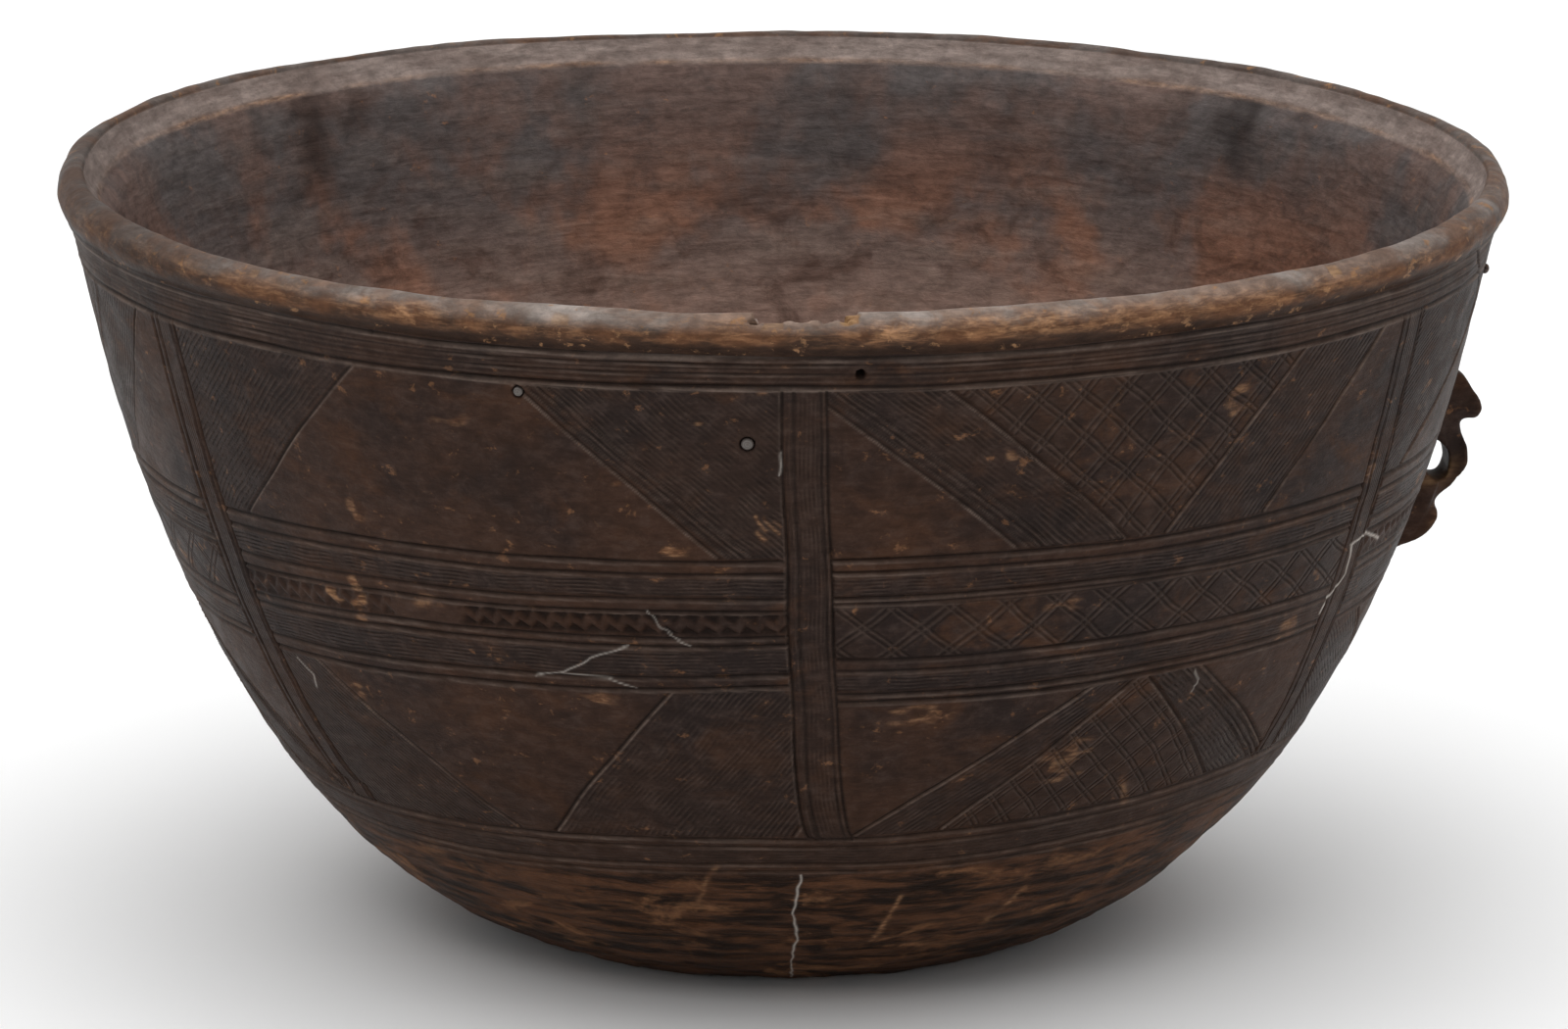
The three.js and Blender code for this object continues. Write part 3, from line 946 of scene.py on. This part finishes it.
def make_lug():
    outline = closed_curve(leaning(LUG_OUTLINE), 6)
    body = prism("lug_block", outline, lug_half_width)
    turn = np.linspace(0, 2 * math.pi, 40, endpoint=False)
    hole = [
        (LUG_WALL_RADIUS + LUG_HOLE_OUT + LUG_HOLE_HALF_OUT * math.cos(a) - 1.1 * math.sin(a),
         HOLE_HEIGHT + LUG_HOLE_HALF_HEIGHT * math.sin(a))
        for a in turn[::-1]
    ]
    drill = prism("lug_drill", hole, lambda x, z: 20.0)
    mesh = modelled("lug", body, [
        ("BOOLEAN", {"object": drill, "operation": "DIFFERENCE", "solver": "EXACT"}),
        ("REMESH", {"mode": "VOXEL", "voxel_size": 0.75 / FINE * MM}),
        ("SMOOTH", {"factor": 0.5, "iterations": int(14 * FINE)}),
    ])
    bpy.data.objects.remove(drill)
    points = read_all(mesh.vertices, "co", 3, np.float32).reshape(-1, 3)
    normals = read_all(mesh.vertices, "normal", 3, np.float32).reshape(-1, 3)
    dice = np.random.default_rng(23)
    bumps = np.zeros(len(points))
    for _ in range(30):
        heading = dice.normal(size=3)
        heading /= np.linalg.norm(heading)
        length = dice.uniform(5, 18) * MM
        bumps += np.sin(points @ heading * 2 * math.pi / length + dice.uniform(0, 6.28))
    points = points + normals * (bumps * 0.055 * MM)[:, None]
    mesh.vertices.foreach_set("co", points.astype(np.float32).ravel())
    mesh.update()
    mesh.shade_smooth()
    return mesh, points


def lug_fields(mesh, points):
    """Wear of the lug: raw wood where a cord has sawn the foot of the hole."""
    out = points[:, 0] / MM - radius_at(points[:, 2] / MM)
    up = points[:, 2] / MM - HOLE_HEIGHT
    nothing = np.zeros(len(points))
    nothing_three = np.zeros((len(points), 3))
    sawn = np.exp(-((out - 5.5) / 4.5) ** 2 - ((up + 7.2) / 1.6) ** 2)
    sawn += 0.8 * np.exp(-((out - 13.5) / 2.2) ** 2 - ((up + 4.5) / 4.0) ** 2)
    rubbed = np.exp(-((out - 15.5) / 2.5) ** 2 - ((up + 20.0) / 4.0) ** 2)
    rubbed = 0.3 * np.maximum(rubbed, 0.45 * smooth(14.0, 19.0, out))
    for name in ("phase", "carved", "zone"):
        store(mesh, name, nothing_three)
    store(mesh, "edges", np.c_[0.35 * sawn, nothing, nothing + 0.35])
    store(mesh, "tone", np.c_[rubbed, nothing, nothing])
    for name in ("gap", "lip", "round_roll", "wear_and_painted_light"):
        store(mesh, name, nothing)
    vertex = read_all(mesh.loops, "vertex_index")
    across = points[:, 1] / MM
    turn = np.arctan2(up, out - 5.0)
    u = 0.02 + 0.45 * (turn + math.pi) / (2 * math.pi)
    v = 0.955 + 0.018 * across / 12.0
    set_uv(mesh, u[vertex], v[vertex])


lug_mesh, lug_points = make_lug()
lug_fields(lug_mesh, lug_points)
lug = placed("lug", lug_mesh)
with bpy.context.temp_override(
    active_object=carved_bowl, object=carved_bowl,
    selected_objects=[carved_bowl, lug], selected_editable_objects=[carved_bowl, lug],
):
    bpy.ops.object.join()


# ---- pegs and nails -------------------------------------------------

def lathe(name, outline, count, roughen, seed):
    """A closed turned piece, its surface roughened by hand work. The axis is +Z."""
    dice = np.random.default_rng(seed)
    waves = [(dice.normal(size=3), dice.uniform(0, 6.28)) for _ in range(14)]
    points, faces = [(0.0, 0.0, outline[0][1])], []
    for r, z in outline[1:-1]:
        for k in range(count):
            a = 2 * math.pi * k / count
            points.append((r * math.cos(a), r * math.sin(a), z))
    points.append((0.0, 0.0, outline[-1][1]))
    points = np.array(points)
    size = np.abs(points).max()
    wobble = sum(np.sin(points @ w * 5.0 / size + p) for w, p in waves) / len(waves)
    points = points * (1.0 + roughen * wobble)[:, None]
    rings = len(outline) - 2
    for k in range(count):
        n = (k + 1) % count
        faces.append((0, 1 + n, 1 + k))
        for ring in range(rings - 1):
            low, high = 1 + ring * count, 1 + (ring + 1) * count
            faces.append((low + k, low + n, high + n, high + k))
        last = 1 + (rings - 1) * count
        faces.append((last + k, last + n, len(points) - 1))
    mesh = bpy.data.meshes.new(name)
    mesh.from_pydata((points * MM).tolist(), [], faces)
    mesh.update()
    mesh.shade_smooth()
    return placed(name, mesh)


def wall_frame(place_azimuth, height):
    """Stands a piece on the outside of the wall with its +Z pointing out."""
    arc_here = arc_at(height)
    low, high = arc_here - 1, arc_here + 1
    dr = np.interp(high, wall_arc, wall_radius) - np.interp(low, wall_arc, wall_radius)
    dz = np.interp(high, wall_arc, wall_height) - np.interp(low, wall_arc, wall_height)
    tilt = math.atan2(dr, dz)
    place = Matrix.Translation((float(radius_at(height)) * MM, 0, height * MM))
    facing = Matrix.Rotation(math.pi / 2 + tilt, 4, "Y")
    return Matrix.Rotation(math.radians(place_azimuth), 4, "Z") @ place @ facing


PEG_GAP = 0.3           # mm between a peg and its hole


def make_peg(name, azimuth_here, drop, hole_radius, recess, seed):
    """A whittled peg driven in square to the wall; its cut end is slightly domed."""
    r = hole_radius - PEG_GAP
    outline = [(0, -6.5), (r * 0.6, -6.5), (r * 0.85, -6.0), (r * 0.97, -3.0), (r, -0.5), (r * 0.95, -0.12)]
    outline += [(r * 0.8, 0.02), (r * 0.55, 0.10), (r * 0.28, 0.14), (0, 0.15)]
    peg = lathe(name, [(r, z - recess) for r, z in outline], 40, 0.05, seed)
    peg.matrix_world = wall_frame(azimuth_here, RIM_HEIGHT - drop)
    return peg


def make_nail(name, seed):
    """A hand-forged nail with a low, hammered head."""
    outline = [(0, -6.8), (0.35, -6.3), (0.9, -4.5), (1.0, -0.3), (1.0, 0.0), (1.55, 0.02), (1.72, 0.25)]
    outline += [(1.66, 0.7), (1.35, 1.15), (0.85, 1.5), (0.4, 1.66), (0, 1.7)]
    return lathe(name, outline, 36, 0.05, seed)


front_peg = make_peg("front_peg", *FRONT_PEG, 2.25, 0.7, 31)
side_peg = make_peg("side_peg", *SIDE_PEG, 1.8, 0.4, 32)
wall_nail = make_nail("wall_nail_iron", 33)
wall_nail.matrix_world = wall_frame(-10.0, RIM_HEIGHT - 32.5)
rim_nail = make_nail("rim_nail_iron", 34)
RIM_NAIL_AZIMUTH = 161.0
round_order = np.argsort(azimuth % 360.0)
rim_nail_lift = float(np.interp(RIM_NAIL_AZIMUTH, (azimuth % 360.0)[round_order], rim_lift[round_order]))
rim_nail.matrix_world = (
    Matrix.Rotation(math.radians(RIM_NAIL_AZIMUTH), 4, "Z")
    @ Matrix.Translation((RIM_RADIUS * MM, 0, (ROLL_MIDDLE + rim_nail_lift) * MM))
    @ Matrix.Rotation(math.pi / 2, 4, "Y")
)


# ---- materials ------------------------------------------------------

class Nodes:
    """Adds nodes to a material's tree and links them."""

    def __init__(self, name):
        self.material = bpy.data.materials.new(name)
        self.material.use_nodes = True
        self.tree = self.material.node_tree
        self.shader = self.tree.nodes["Principled BSDF"]
        coordinates = self.add("ShaderNodeTexCoord").outputs["Object"]
        feeds = {0: coordinates, "Scale": 1 / MM}
        self.place = self.add("ShaderNodeVectorMath", feeds, operation="SCALE").outputs[0]

    def add(self, kind, feeds=None, **settings):
        node = self.tree.nodes.new(kind)
        for name, value in settings.items():
            setattr(node, name, value)
        for name, value in (feeds or {}).items():
            self.feed(node.inputs[name], value)
        return node

    def feed(self, socket, value):
        if isinstance(value, bpy.types.NodeSocket):
            self.tree.links.new(value, socket)
        else:
            socket.default_value = value

    def math(self, operation, *values, clamp=False):
        feeds = dict(enumerate(values))
        return self.add("ShaderNodeMath", feeds, operation=operation, use_clamp=clamp).outputs[0]

    def times(self, first, second):
        return self.math("MULTIPLY", first, second)

    def plus(self, first, second):
        return self.math("ADD", first, second)

    def rise(self, x, low, high, start=0.0, end=1.0):
        feeds = {"Value": x, "From Min": low, "From Max": high, "To Min": start, "To Max": end}
        return self.add("ShaderNodeMapRange", feeds, interpolation_type="SMOOTHSTEP").outputs[0]

    def noise(self, size, detail=3.0, roughness=0.55, distortion=0.0, stretch=None):
        feeds = {
            "Vector": self.stretched(*stretch) if stretch else self.place, "Scale": 1.0 / size,
            "Detail": detail, "Roughness": roughness, "Distortion": distortion,
        }
        return self.add("ShaderNodeTexNoise", feeds).outputs[0]

    def stretched(self, sideways, upward, shift):
        """The place squeezed, so that a noise on it comes out longer one way."""
        feeds = {0: self.place, 1: (1.0 / sideways, 1.0 / sideways, 1.0 / upward)}
        squeezed = self.add("ShaderNodeVectorMath", feeds, operation="MULTIPLY").outputs[0]
        feeds = {0: squeezed, 1: (shift, shift, shift)}
        return self.add("ShaderNodeVectorMath", feeds, operation="ADD").outputs[0]

    def blend(self, share, below, above, kind="MIX"):
        node = self.add("ShaderNodeMix", data_type="RGBA", blend_type=kind)
        self.feed(node.inputs[0], share)
        self.feed(node.inputs[6], below if isinstance(below, bpy.types.NodeSocket) else (*below, 1.0))
        self.feed(node.inputs[7], above if isinstance(above, bpy.types.NodeSocket) else (*above, 1.0))
        return node.outputs[2]

    def layered(self, base, *coats):
        """A colour with coats laid over it, each as its share and its colour."""
        for share, colour in coats:
            base = self.blend(share, base, colour)
        return base

    def three(self, attribute):
        vector = self.add("ShaderNodeAttribute", attribute_name=attribute).outputs["Vector"]
        return self.add("ShaderNodeSeparateXYZ", {0: vector}).outputs

    def one(self, attribute):
        return self.add("ShaderNodeAttribute", attribute_name=attribute).outputs["Fac"]

    def bump(self, height):
        """Height in mm."""
        feeds = {"Height": height, "Distance": MM, "Strength": 1.0}
        self.feed(self.shader.inputs["Normal"], self.add("ShaderNodeBump", feeds).outputs[0])


def knife_cuts(n, phase):
    """1 in the middle of each fine cut, 0 between them; one cut for each whole number."""
    wave = n.math("COSINE", n.times(phase, 2 * math.pi))
    return n.rise(wave, -0.35, 0.95)


def paired_cuts(n, phase, gap, width):
    """Two cuts for each whole number of phase, a gap to each side of it."""
    place = n.math("SUBTRACT", phase, n.math("FLOOR", phase))
    off = n.math("ABSOLUTE", n.math("SUBTRACT", place, 0.5))
    away = n.math("ABSOLUTE", n.math("SUBTRACT", off, gap))
    return n.rise(away, 0.0, width, 1.0, 0.0)


def make_wood():
    """Old dark carved wood: patina, wear, dirt in the cuts and raw wood where it is broken."""
    n = Nodes("old_carved_wood")
    hatch_at, lattice_one, lattice_two = n.three("phase")
    hatched, latticed, lines = n.three("carved")
    on_roll, inner, sole = n.three("zone")
    chipped, on_bevel, _ = n.three("edges")
    bare_and_lit, pale, stains_and_shade = n.three("tone")
    gap = n.one("gap")
    lip = n.one("lip")
    round_roll = n.one("round_roll")
    front = n.one("wear_and_painted_light")
    height = n.add("ShaderNodeSeparateXYZ", {0: n.place}).outputs[2]

    # cuts too fine for the mesh
    unequal = n.rise(n.noise(7.0, 3.0, 0.6, stretch=(1.0, 1.0, 41.0)), 0.38, 0.64, 0.08, 0.85)
    hatched_field = hatched
    hatched = n.times(hatched, unequal)
    fine = n.times(knife_cuts(n, hatch_at), hatched)
    thin = n.rise(gap, 0.15, 0.2, 0.065, 0.16)
    one_way = paired_cuts(n, lattice_one, gap, thin)
    crossed = n.math("MAXIMUM", one_way, paired_cuts(n, lattice_two, gap, thin))
    crossed = n.times(crossed, latticed)
    cuts = n.math("MAXIMUM", n.times(fine, 0.75), crossed)
    # the lit edge of each cut, for a painted highlight
    lit_cut_edges = n.times(knife_cuts(n, n.plus(hatch_at, 0.42)), hatched)
    one_side = paired_cuts(n, n.plus(lattice_one, 0.065), gap, thin)
    other_side = paired_cuts(n, n.plus(lattice_two, 0.065), gap, thin)
    lit_cut_edges = n.math("MAXIMUM", lit_cut_edges, n.times(n.math("MAXIMUM", one_side, other_side), latticed))

    # noises
    cloud = n.noise(52.0, 4.0, 0.6)
    patch = n.noise(17.0, 5.0, 0.66, 0.6, (1.6, 1.0, 7.0))
    gouge = n.noise(7.5, 2.0, 0.45, 0.35, (4.2, 0.8, 53.0))
    streak = n.noise(5.0, 4.0, 0.6, 0.3, (5.0, 0.8, 3.0))
    scrape = n.noise(3.6, 5.0, 0.65, 0.5, (7.0, 1.0, 17.0))
    flecks = n.noise(5.5, 5.0, 0.7, 0.3, (1.3, 1.0, 29.0))
    mottle = n.noise(4.2, 6.0, 0.75, 0.3, (1.5, 1.0, 67.0))
    speck = n.noise(1.5, 3.0, 0.6)
    grain = n.noise(2.4, 5.0, 0.65, 0.4, (3.2, 0.7, 11.0))

    plain_field = n.times(n.math("SUBTRACT", 1.0, n.math("MAXIMUM", hatched_field, latticed)), 0.55)
    outside = n.layered(
        (0.019, 0.0118, 0.0098),
        (n.rise(cloud, 0.36, 0.66), (0.031, 0.0168, 0.0115)),
        (n.rise(patch, 0.50, 0.74), (0.056, 0.026, 0.014)),
        (n.rise(height, 60.0, 130.0, 0.6, 0.0), (0.034, 0.016, 0.009)),
        (n.times(plain_field, n.rise(cloud, 0.30, 0.62)), (0.044, 0.0205, 0.0118)),
        (n.times(hatched_field, 0.40), (0.017, 0.012, 0.0108)),
        (n.times(n.rise(mottle, 0.46, 0.72), 0.36), (0.048, 0.033, 0.027)),
        (n.times(n.rise(flecks, 0.605, 0.70), 0.75), (0.15, 0.072, 0.035)),
    )
    worn_sole = n.layered(
        (0.012, 0.006, 0.0035),
        (n.rise(scrape, 0.38, 0.62), (0.080, 0.034, 0.016)),
        (n.rise(patch, 0.54, 0.70, 0.0, 0.8), (0.21, 0.100, 0.048)),
    )
    # painted light: a lighter band low on the inside wall, darker again deeper down
    painted_light_inside = n.times(n.rise(height, 130.0, 222.0, 0.80, 0.0), n.rise(height, 50.0, 160.0, 0.30, 1.0))
    hollow = n.layered(
        (0.094, 0.074, 0.069),
        (n.rise(cloud, 0.42, 0.58), (0.190, 0.086, 0.052)),
        (painted_light_inside, (0.300, 0.186, 0.142)),
        (n.rise(gouge, 0.46, 0.70, 0.0, 0.24), (0.25, 0.185, 0.150)),
        (n.rise(patch, 0.48, 0.66, 0.0, 0.62), (0.070, 0.036, 0.026)),
        (n.rise(height, 185.0, 235.0, 0.0, 0.65), (0.098, 0.088, 0.086)),
        (n.rise(flecks, 0.64, 0.74, 0.0, 0.7), (0.30, 0.150, 0.080)),
    )
    bevel = n.blend(n.rise(streak, 0.35, 0.7), (0.190, 0.146, 0.128), (0.300, 0.240, 0.212))

    # the rim: brown where it is rubbed, a grey painted highlight on top, painted shade underneath
    highlight_on_top = n.times(n.rise(round_roll, 0.34, 0.58), n.rise(patch, 0.34, 0.58, 1.0, 0.45))
    crest_highlight = n.blend(front, (0.098, 0.079, 0.071), (0.330, 0.284, 0.254))
    wear_and_painted_light = n.layered(
        (0.048, 0.027, 0.018),
        (n.rise(patch, 0.40, 0.60), (0.110, 0.050, 0.025)),
        (n.times(n.rise(grain, 0.42, 0.74), n.times(front, 0.60)), (0.220, 0.108, 0.052)),
        (n.times(highlight_on_top, n.rise(cloud, 0.40, 0.56, 0.65, 1.0)), crest_highlight),
        # painted shade under the roll
        (n.rise(round_roll, 0.08, 0.28, 0.9, 0.0), (0.022, 0.012, 0.008)),
        (n.rise(flecks, 0.58, 0.66, 0.0, 0.85), (0.26, 0.140, 0.070)),
    )
    worn_wood = n.blend(n.rise(grain, 0.4, 0.65), (0.13, 0.058, 0.028), (0.34, 0.185, 0.095))
    painted_lip_shine = n.math("MULTIPLY", lip, n.rise(streak, 0.3, 0.6, 0.15, 0.60), clamp=True)
    tone = n.times(n.rise(grain, 0.3, 0.75, 0.85, 1.15), n.rise(mottle, 0.3, 0.7, 0.78, 1.22))
    grey = n.add("ShaderNodeCombineColor", {0: tone, 1: tone, 2: tone}).outputs[0]
    raw = n.blend(n.rise(grain, 0.35, 0.7), (0.20, 0.105, 0.050), (0.38, 0.230, 0.110))

    # the places one over the other, then painted shade in the cuts and a painted highlight on the edge
    # beside them
    wood = n.layered(
        outside,
        (n.times(sole, n.rise(cloud, 0.2, 0.6, 0.75, 1.0)), worn_sole),
        (inner, hollow),
        (n.times(on_bevel, 0.85), bevel),
        (n.times(on_roll, 0.92), wear_and_painted_light),
        (n.times(bare_and_lit, n.rise(speck, 0.25, 0.6, 0.5, 1.0)), worn_wood),
        # painted shade in the cuts and grooves, painted highlights on their lit edges and on the lips
        (n.times(cuts, 0.42), (0.009, 0.006, 0.005)),
        (n.times(lit_cut_edges, 0.17), (0.125, 0.088, 0.070)),
        (n.times(lines, 0.90), (0.007, 0.0045, 0.0035)),
        (painted_lip_shine, (0.150, 0.112, 0.092)),
    )
    # stains and dirt, painted shade in the holes, raw wood in the chips, pale fibres
    wood = n.layered(
        n.blend(1.0, wood, grey, "MULTIPLY"),
        (stains_and_shade, (0.010, 0.006, 0.005)),
        (chipped, raw),
        (n.times(pale, n.rise(speck, 0.15, 0.5, 0.4, 1.0)), (0.55, 0.50, 0.45)),
    )
    n.feed(n.shader.inputs["Base Color"], wood)
    n.feed(n.shader.inputs["Specular IOR Level"], 0.06)

    gloss = n.rise(patch, 0.3, 0.75, 0.46, 0.62)
    gloss = n.plus(gloss, n.times(cuts, 0.15))
    gloss = n.plus(gloss, n.times(inner, 0.08))
    n.feed(n.shader.inputs["Roughness"], gloss)

    relief = n.times(fine, -0.38)
    relief = n.math("SUBTRACT", relief, n.times(crossed, 0.36))
    gouged = n.times(inner, 0.9)
    scraped = n.times(sole, 1.2)
    for field, share in (
        (grain, 0.22), (streak, 0.12), (mottle, 0.40), (gouge, gouged), (scrape, scraped), (speck, 0.05),
    ):
        relief = n.plus(relief, n.times(field, share))
    n.bump(relief)
    return n.material


def make_peg_wood():
    """End grain of a pale peg, greyed, and darker round its edge."""
    n = Nodes("greyed_peg_wood")
    place = n.add("ShaderNodeSeparateXYZ", {0: n.place}).outputs
    out = n.math("SQRT", n.plus(n.math("POWER", place[0], 2.0), n.math("POWER", place[1], 2.0)))
    rings = n.math("SINE", n.plus(n.times(out, 9.0), n.times(n.noise(2.0), 5.0)))
    mottle = n.noise(0.8, 4.0, 0.6)
    wood = n.layered(
        (0.072, 0.060, 0.053),
        (n.rise(rings, -0.8, 0.9), (0.105, 0.092, 0.083)),
        (n.rise(mottle, 0.48, 0.72), (0.075, 0.058, 0.048)),
        (n.rise(out, 1.15, 1.95), (0.035, 0.024, 0.019)),
    )
    n.feed(n.shader.inputs["Base Color"], wood)
    n.feed(n.shader.inputs["Roughness"], n.rise(mottle, 0.3, 0.7, 0.55, 0.75))
    n.bump(n.plus(n.times(rings, 0.03), n.times(mottle, 0.18)))
    return n.material


def make_iron():
    """Forged iron gone brown with rust."""
    n = Nodes("rusted_iron")
    mottle = n.noise(0.9, 5.0, 0.65, 0.4)
    cloud = n.noise(2.2, 3.0, 0.5)
    iron = n.blend(n.rise(mottle, 0.4, 0.65), (0.028, 0.021, 0.018), (0.105, 0.046, 0.022))
    iron = n.blend(n.rise(cloud, 0.5, 0.72), iron, (0.055, 0.048, 0.045))
    n.feed(n.shader.inputs["Base Color"], iron)
    n.feed(n.shader.inputs["Roughness"], n.rise(mottle, 0.35, 0.7, 0.45, 0.85))
    n.feed(n.shader.inputs["Metallic"], n.rise(mottle, 0.4, 0.6, 0.7, 0.1))
    n.bump(n.times(mottle, 0.35))
    return n.material


wood_material = make_wood()
peg_material = make_peg_wood()
iron_material = make_iron()

PIECES = [
    # piece, CAD node, slot, material
    (carved_bowl, "bowl", "carved_wood", wood_material),
    (front_peg, "front_wall_peg", "peg_wood", peg_material),
    (side_peg, "side_wall_peg", "peg_wood", peg_material),
    (rim_nail, "rim_nail", "nail_iron", iron_material),
    (wall_nail, "wall_nail", "nail_iron", iron_material),
]
for piece, node, slot, material in PIECES:
    piece.data.materials.clear()
    piece.data.materials.append(material)
    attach(piece, "root")
    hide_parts(node)


# ---- floor, light and camera ----------------------------------------

FLOOR_HALF = 11.0            # metres from the middle to an edge


def make_floor():
    mesh = bpy.data.meshes.new("studio_floor")
    corners = [(x * FLOOR_HALF, y * FLOOR_HALF, 0) for x, y in ((-1, -1), (1, -1), (1, 1), (-1, 1))]
    mesh.from_pydata(corners, [], [(0, 1, 2, 3)])
    floor = placed("studio_floor", mesh)
    material = bpy.data.materials.new("pale_floor")
    material.use_nodes = True
    shader = material.node_tree.nodes["Principled BSDF"]
    shader.inputs["Base Color"].default_value = (0.88, 0.88, 0.88, 1)
    shader.inputs["Roughness"].default_value = 0.9
    shader.inputs["Specular IOR Level"].default_value = 0.1
    mesh.materials.append(material)


def soft_box(name, position, aim, size, power, spread):
    data = bpy.data.lights.new(name, "AREA")
    data.shape = "RECTANGLE"
    data.size, data.size_y = size
    data.energy = power
    data.spread = math.radians(spread)
    box = placed(name, data)
    box.location = position
    box.rotation_euler = (Vector(aim) - Vector(position)).to_track_quat("-Z", "Y").to_euler()


def make_light():
    world = bpy.data.worlds.new("white_studio")
    world.use_nodes = True
    background = world.node_tree.nodes["Background"]
    tree = world.node_tree
    heading = tree.nodes.new("ShaderNodeTexCoord").outputs["Generated"]
    split = tree.nodes.new("ShaderNodeSeparateXYZ")
    tree.links.new(heading, split.inputs[0])
    pale = tree.nodes.new("ShaderNodeMapRange")
    pale.interpolation_type = "SMOOTHSTEP"
    tree.links.new(split.outputs[2], pale.inputs["Value"])
    for socket, value in (("From Min", 0.05), ("From Max", 0.14), ("To Min", 1.0), ("To Max", 0.46)):
        pale.inputs[socket].default_value = value
    background.inputs["Color"].default_value = (1.0, 1.0, 1.0, 1)
    tree.links.new(pale.outputs[0], background.inputs["Strength"])
    bpy.context.scene.world = world
    soft_box("overhead_box", (0.0, 0.0, 3.2), (0, 0, 0), (24.0, 24.0), 1480.0, 100)
    soft_box("front_box", (-1.0, -2.4, 2.3), (0, 0, 0.15), (1.6, 1.0), 12.0, 180)


CAMERA_LENS = 180.7          # mm, on a frame 36 mm wide
CAMERA_DISTANCE = 2.640
CAMERA_PITCH = 13.974
CAMERA_TURN = -6.0
CAMERA_TILT = 0.215
LOOK_HEIGHT = 0.12405


def make_camera():
    data = bpy.data.cameras.new("camera")
    data.lens = CAMERA_LENS
    data.sensor_width = 36.0
    data.clip_end = 100.0
    camera = placed("camera", data)
    pitch = math.radians(CAMERA_PITCH)
    back = -CAMERA_DISTANCE * math.cos(pitch)
    high = LOOK_HEIGHT + CAMERA_DISTANCE * math.sin(pitch)
    camera.matrix_world = (
        Matrix.Rotation(math.radians(CAMERA_TURN), 4, "Z")
        @ Matrix.Translation((0, back, high))
        @ Matrix.Rotation(math.radians(90 - CAMERA_PITCH + CAMERA_TILT), 4, "X")
    )
    bpy.context.scene.camera = camera


make_floor()
make_light()
make_camera()
bpy.context.scene.view_settings.view_transform = "Standard"
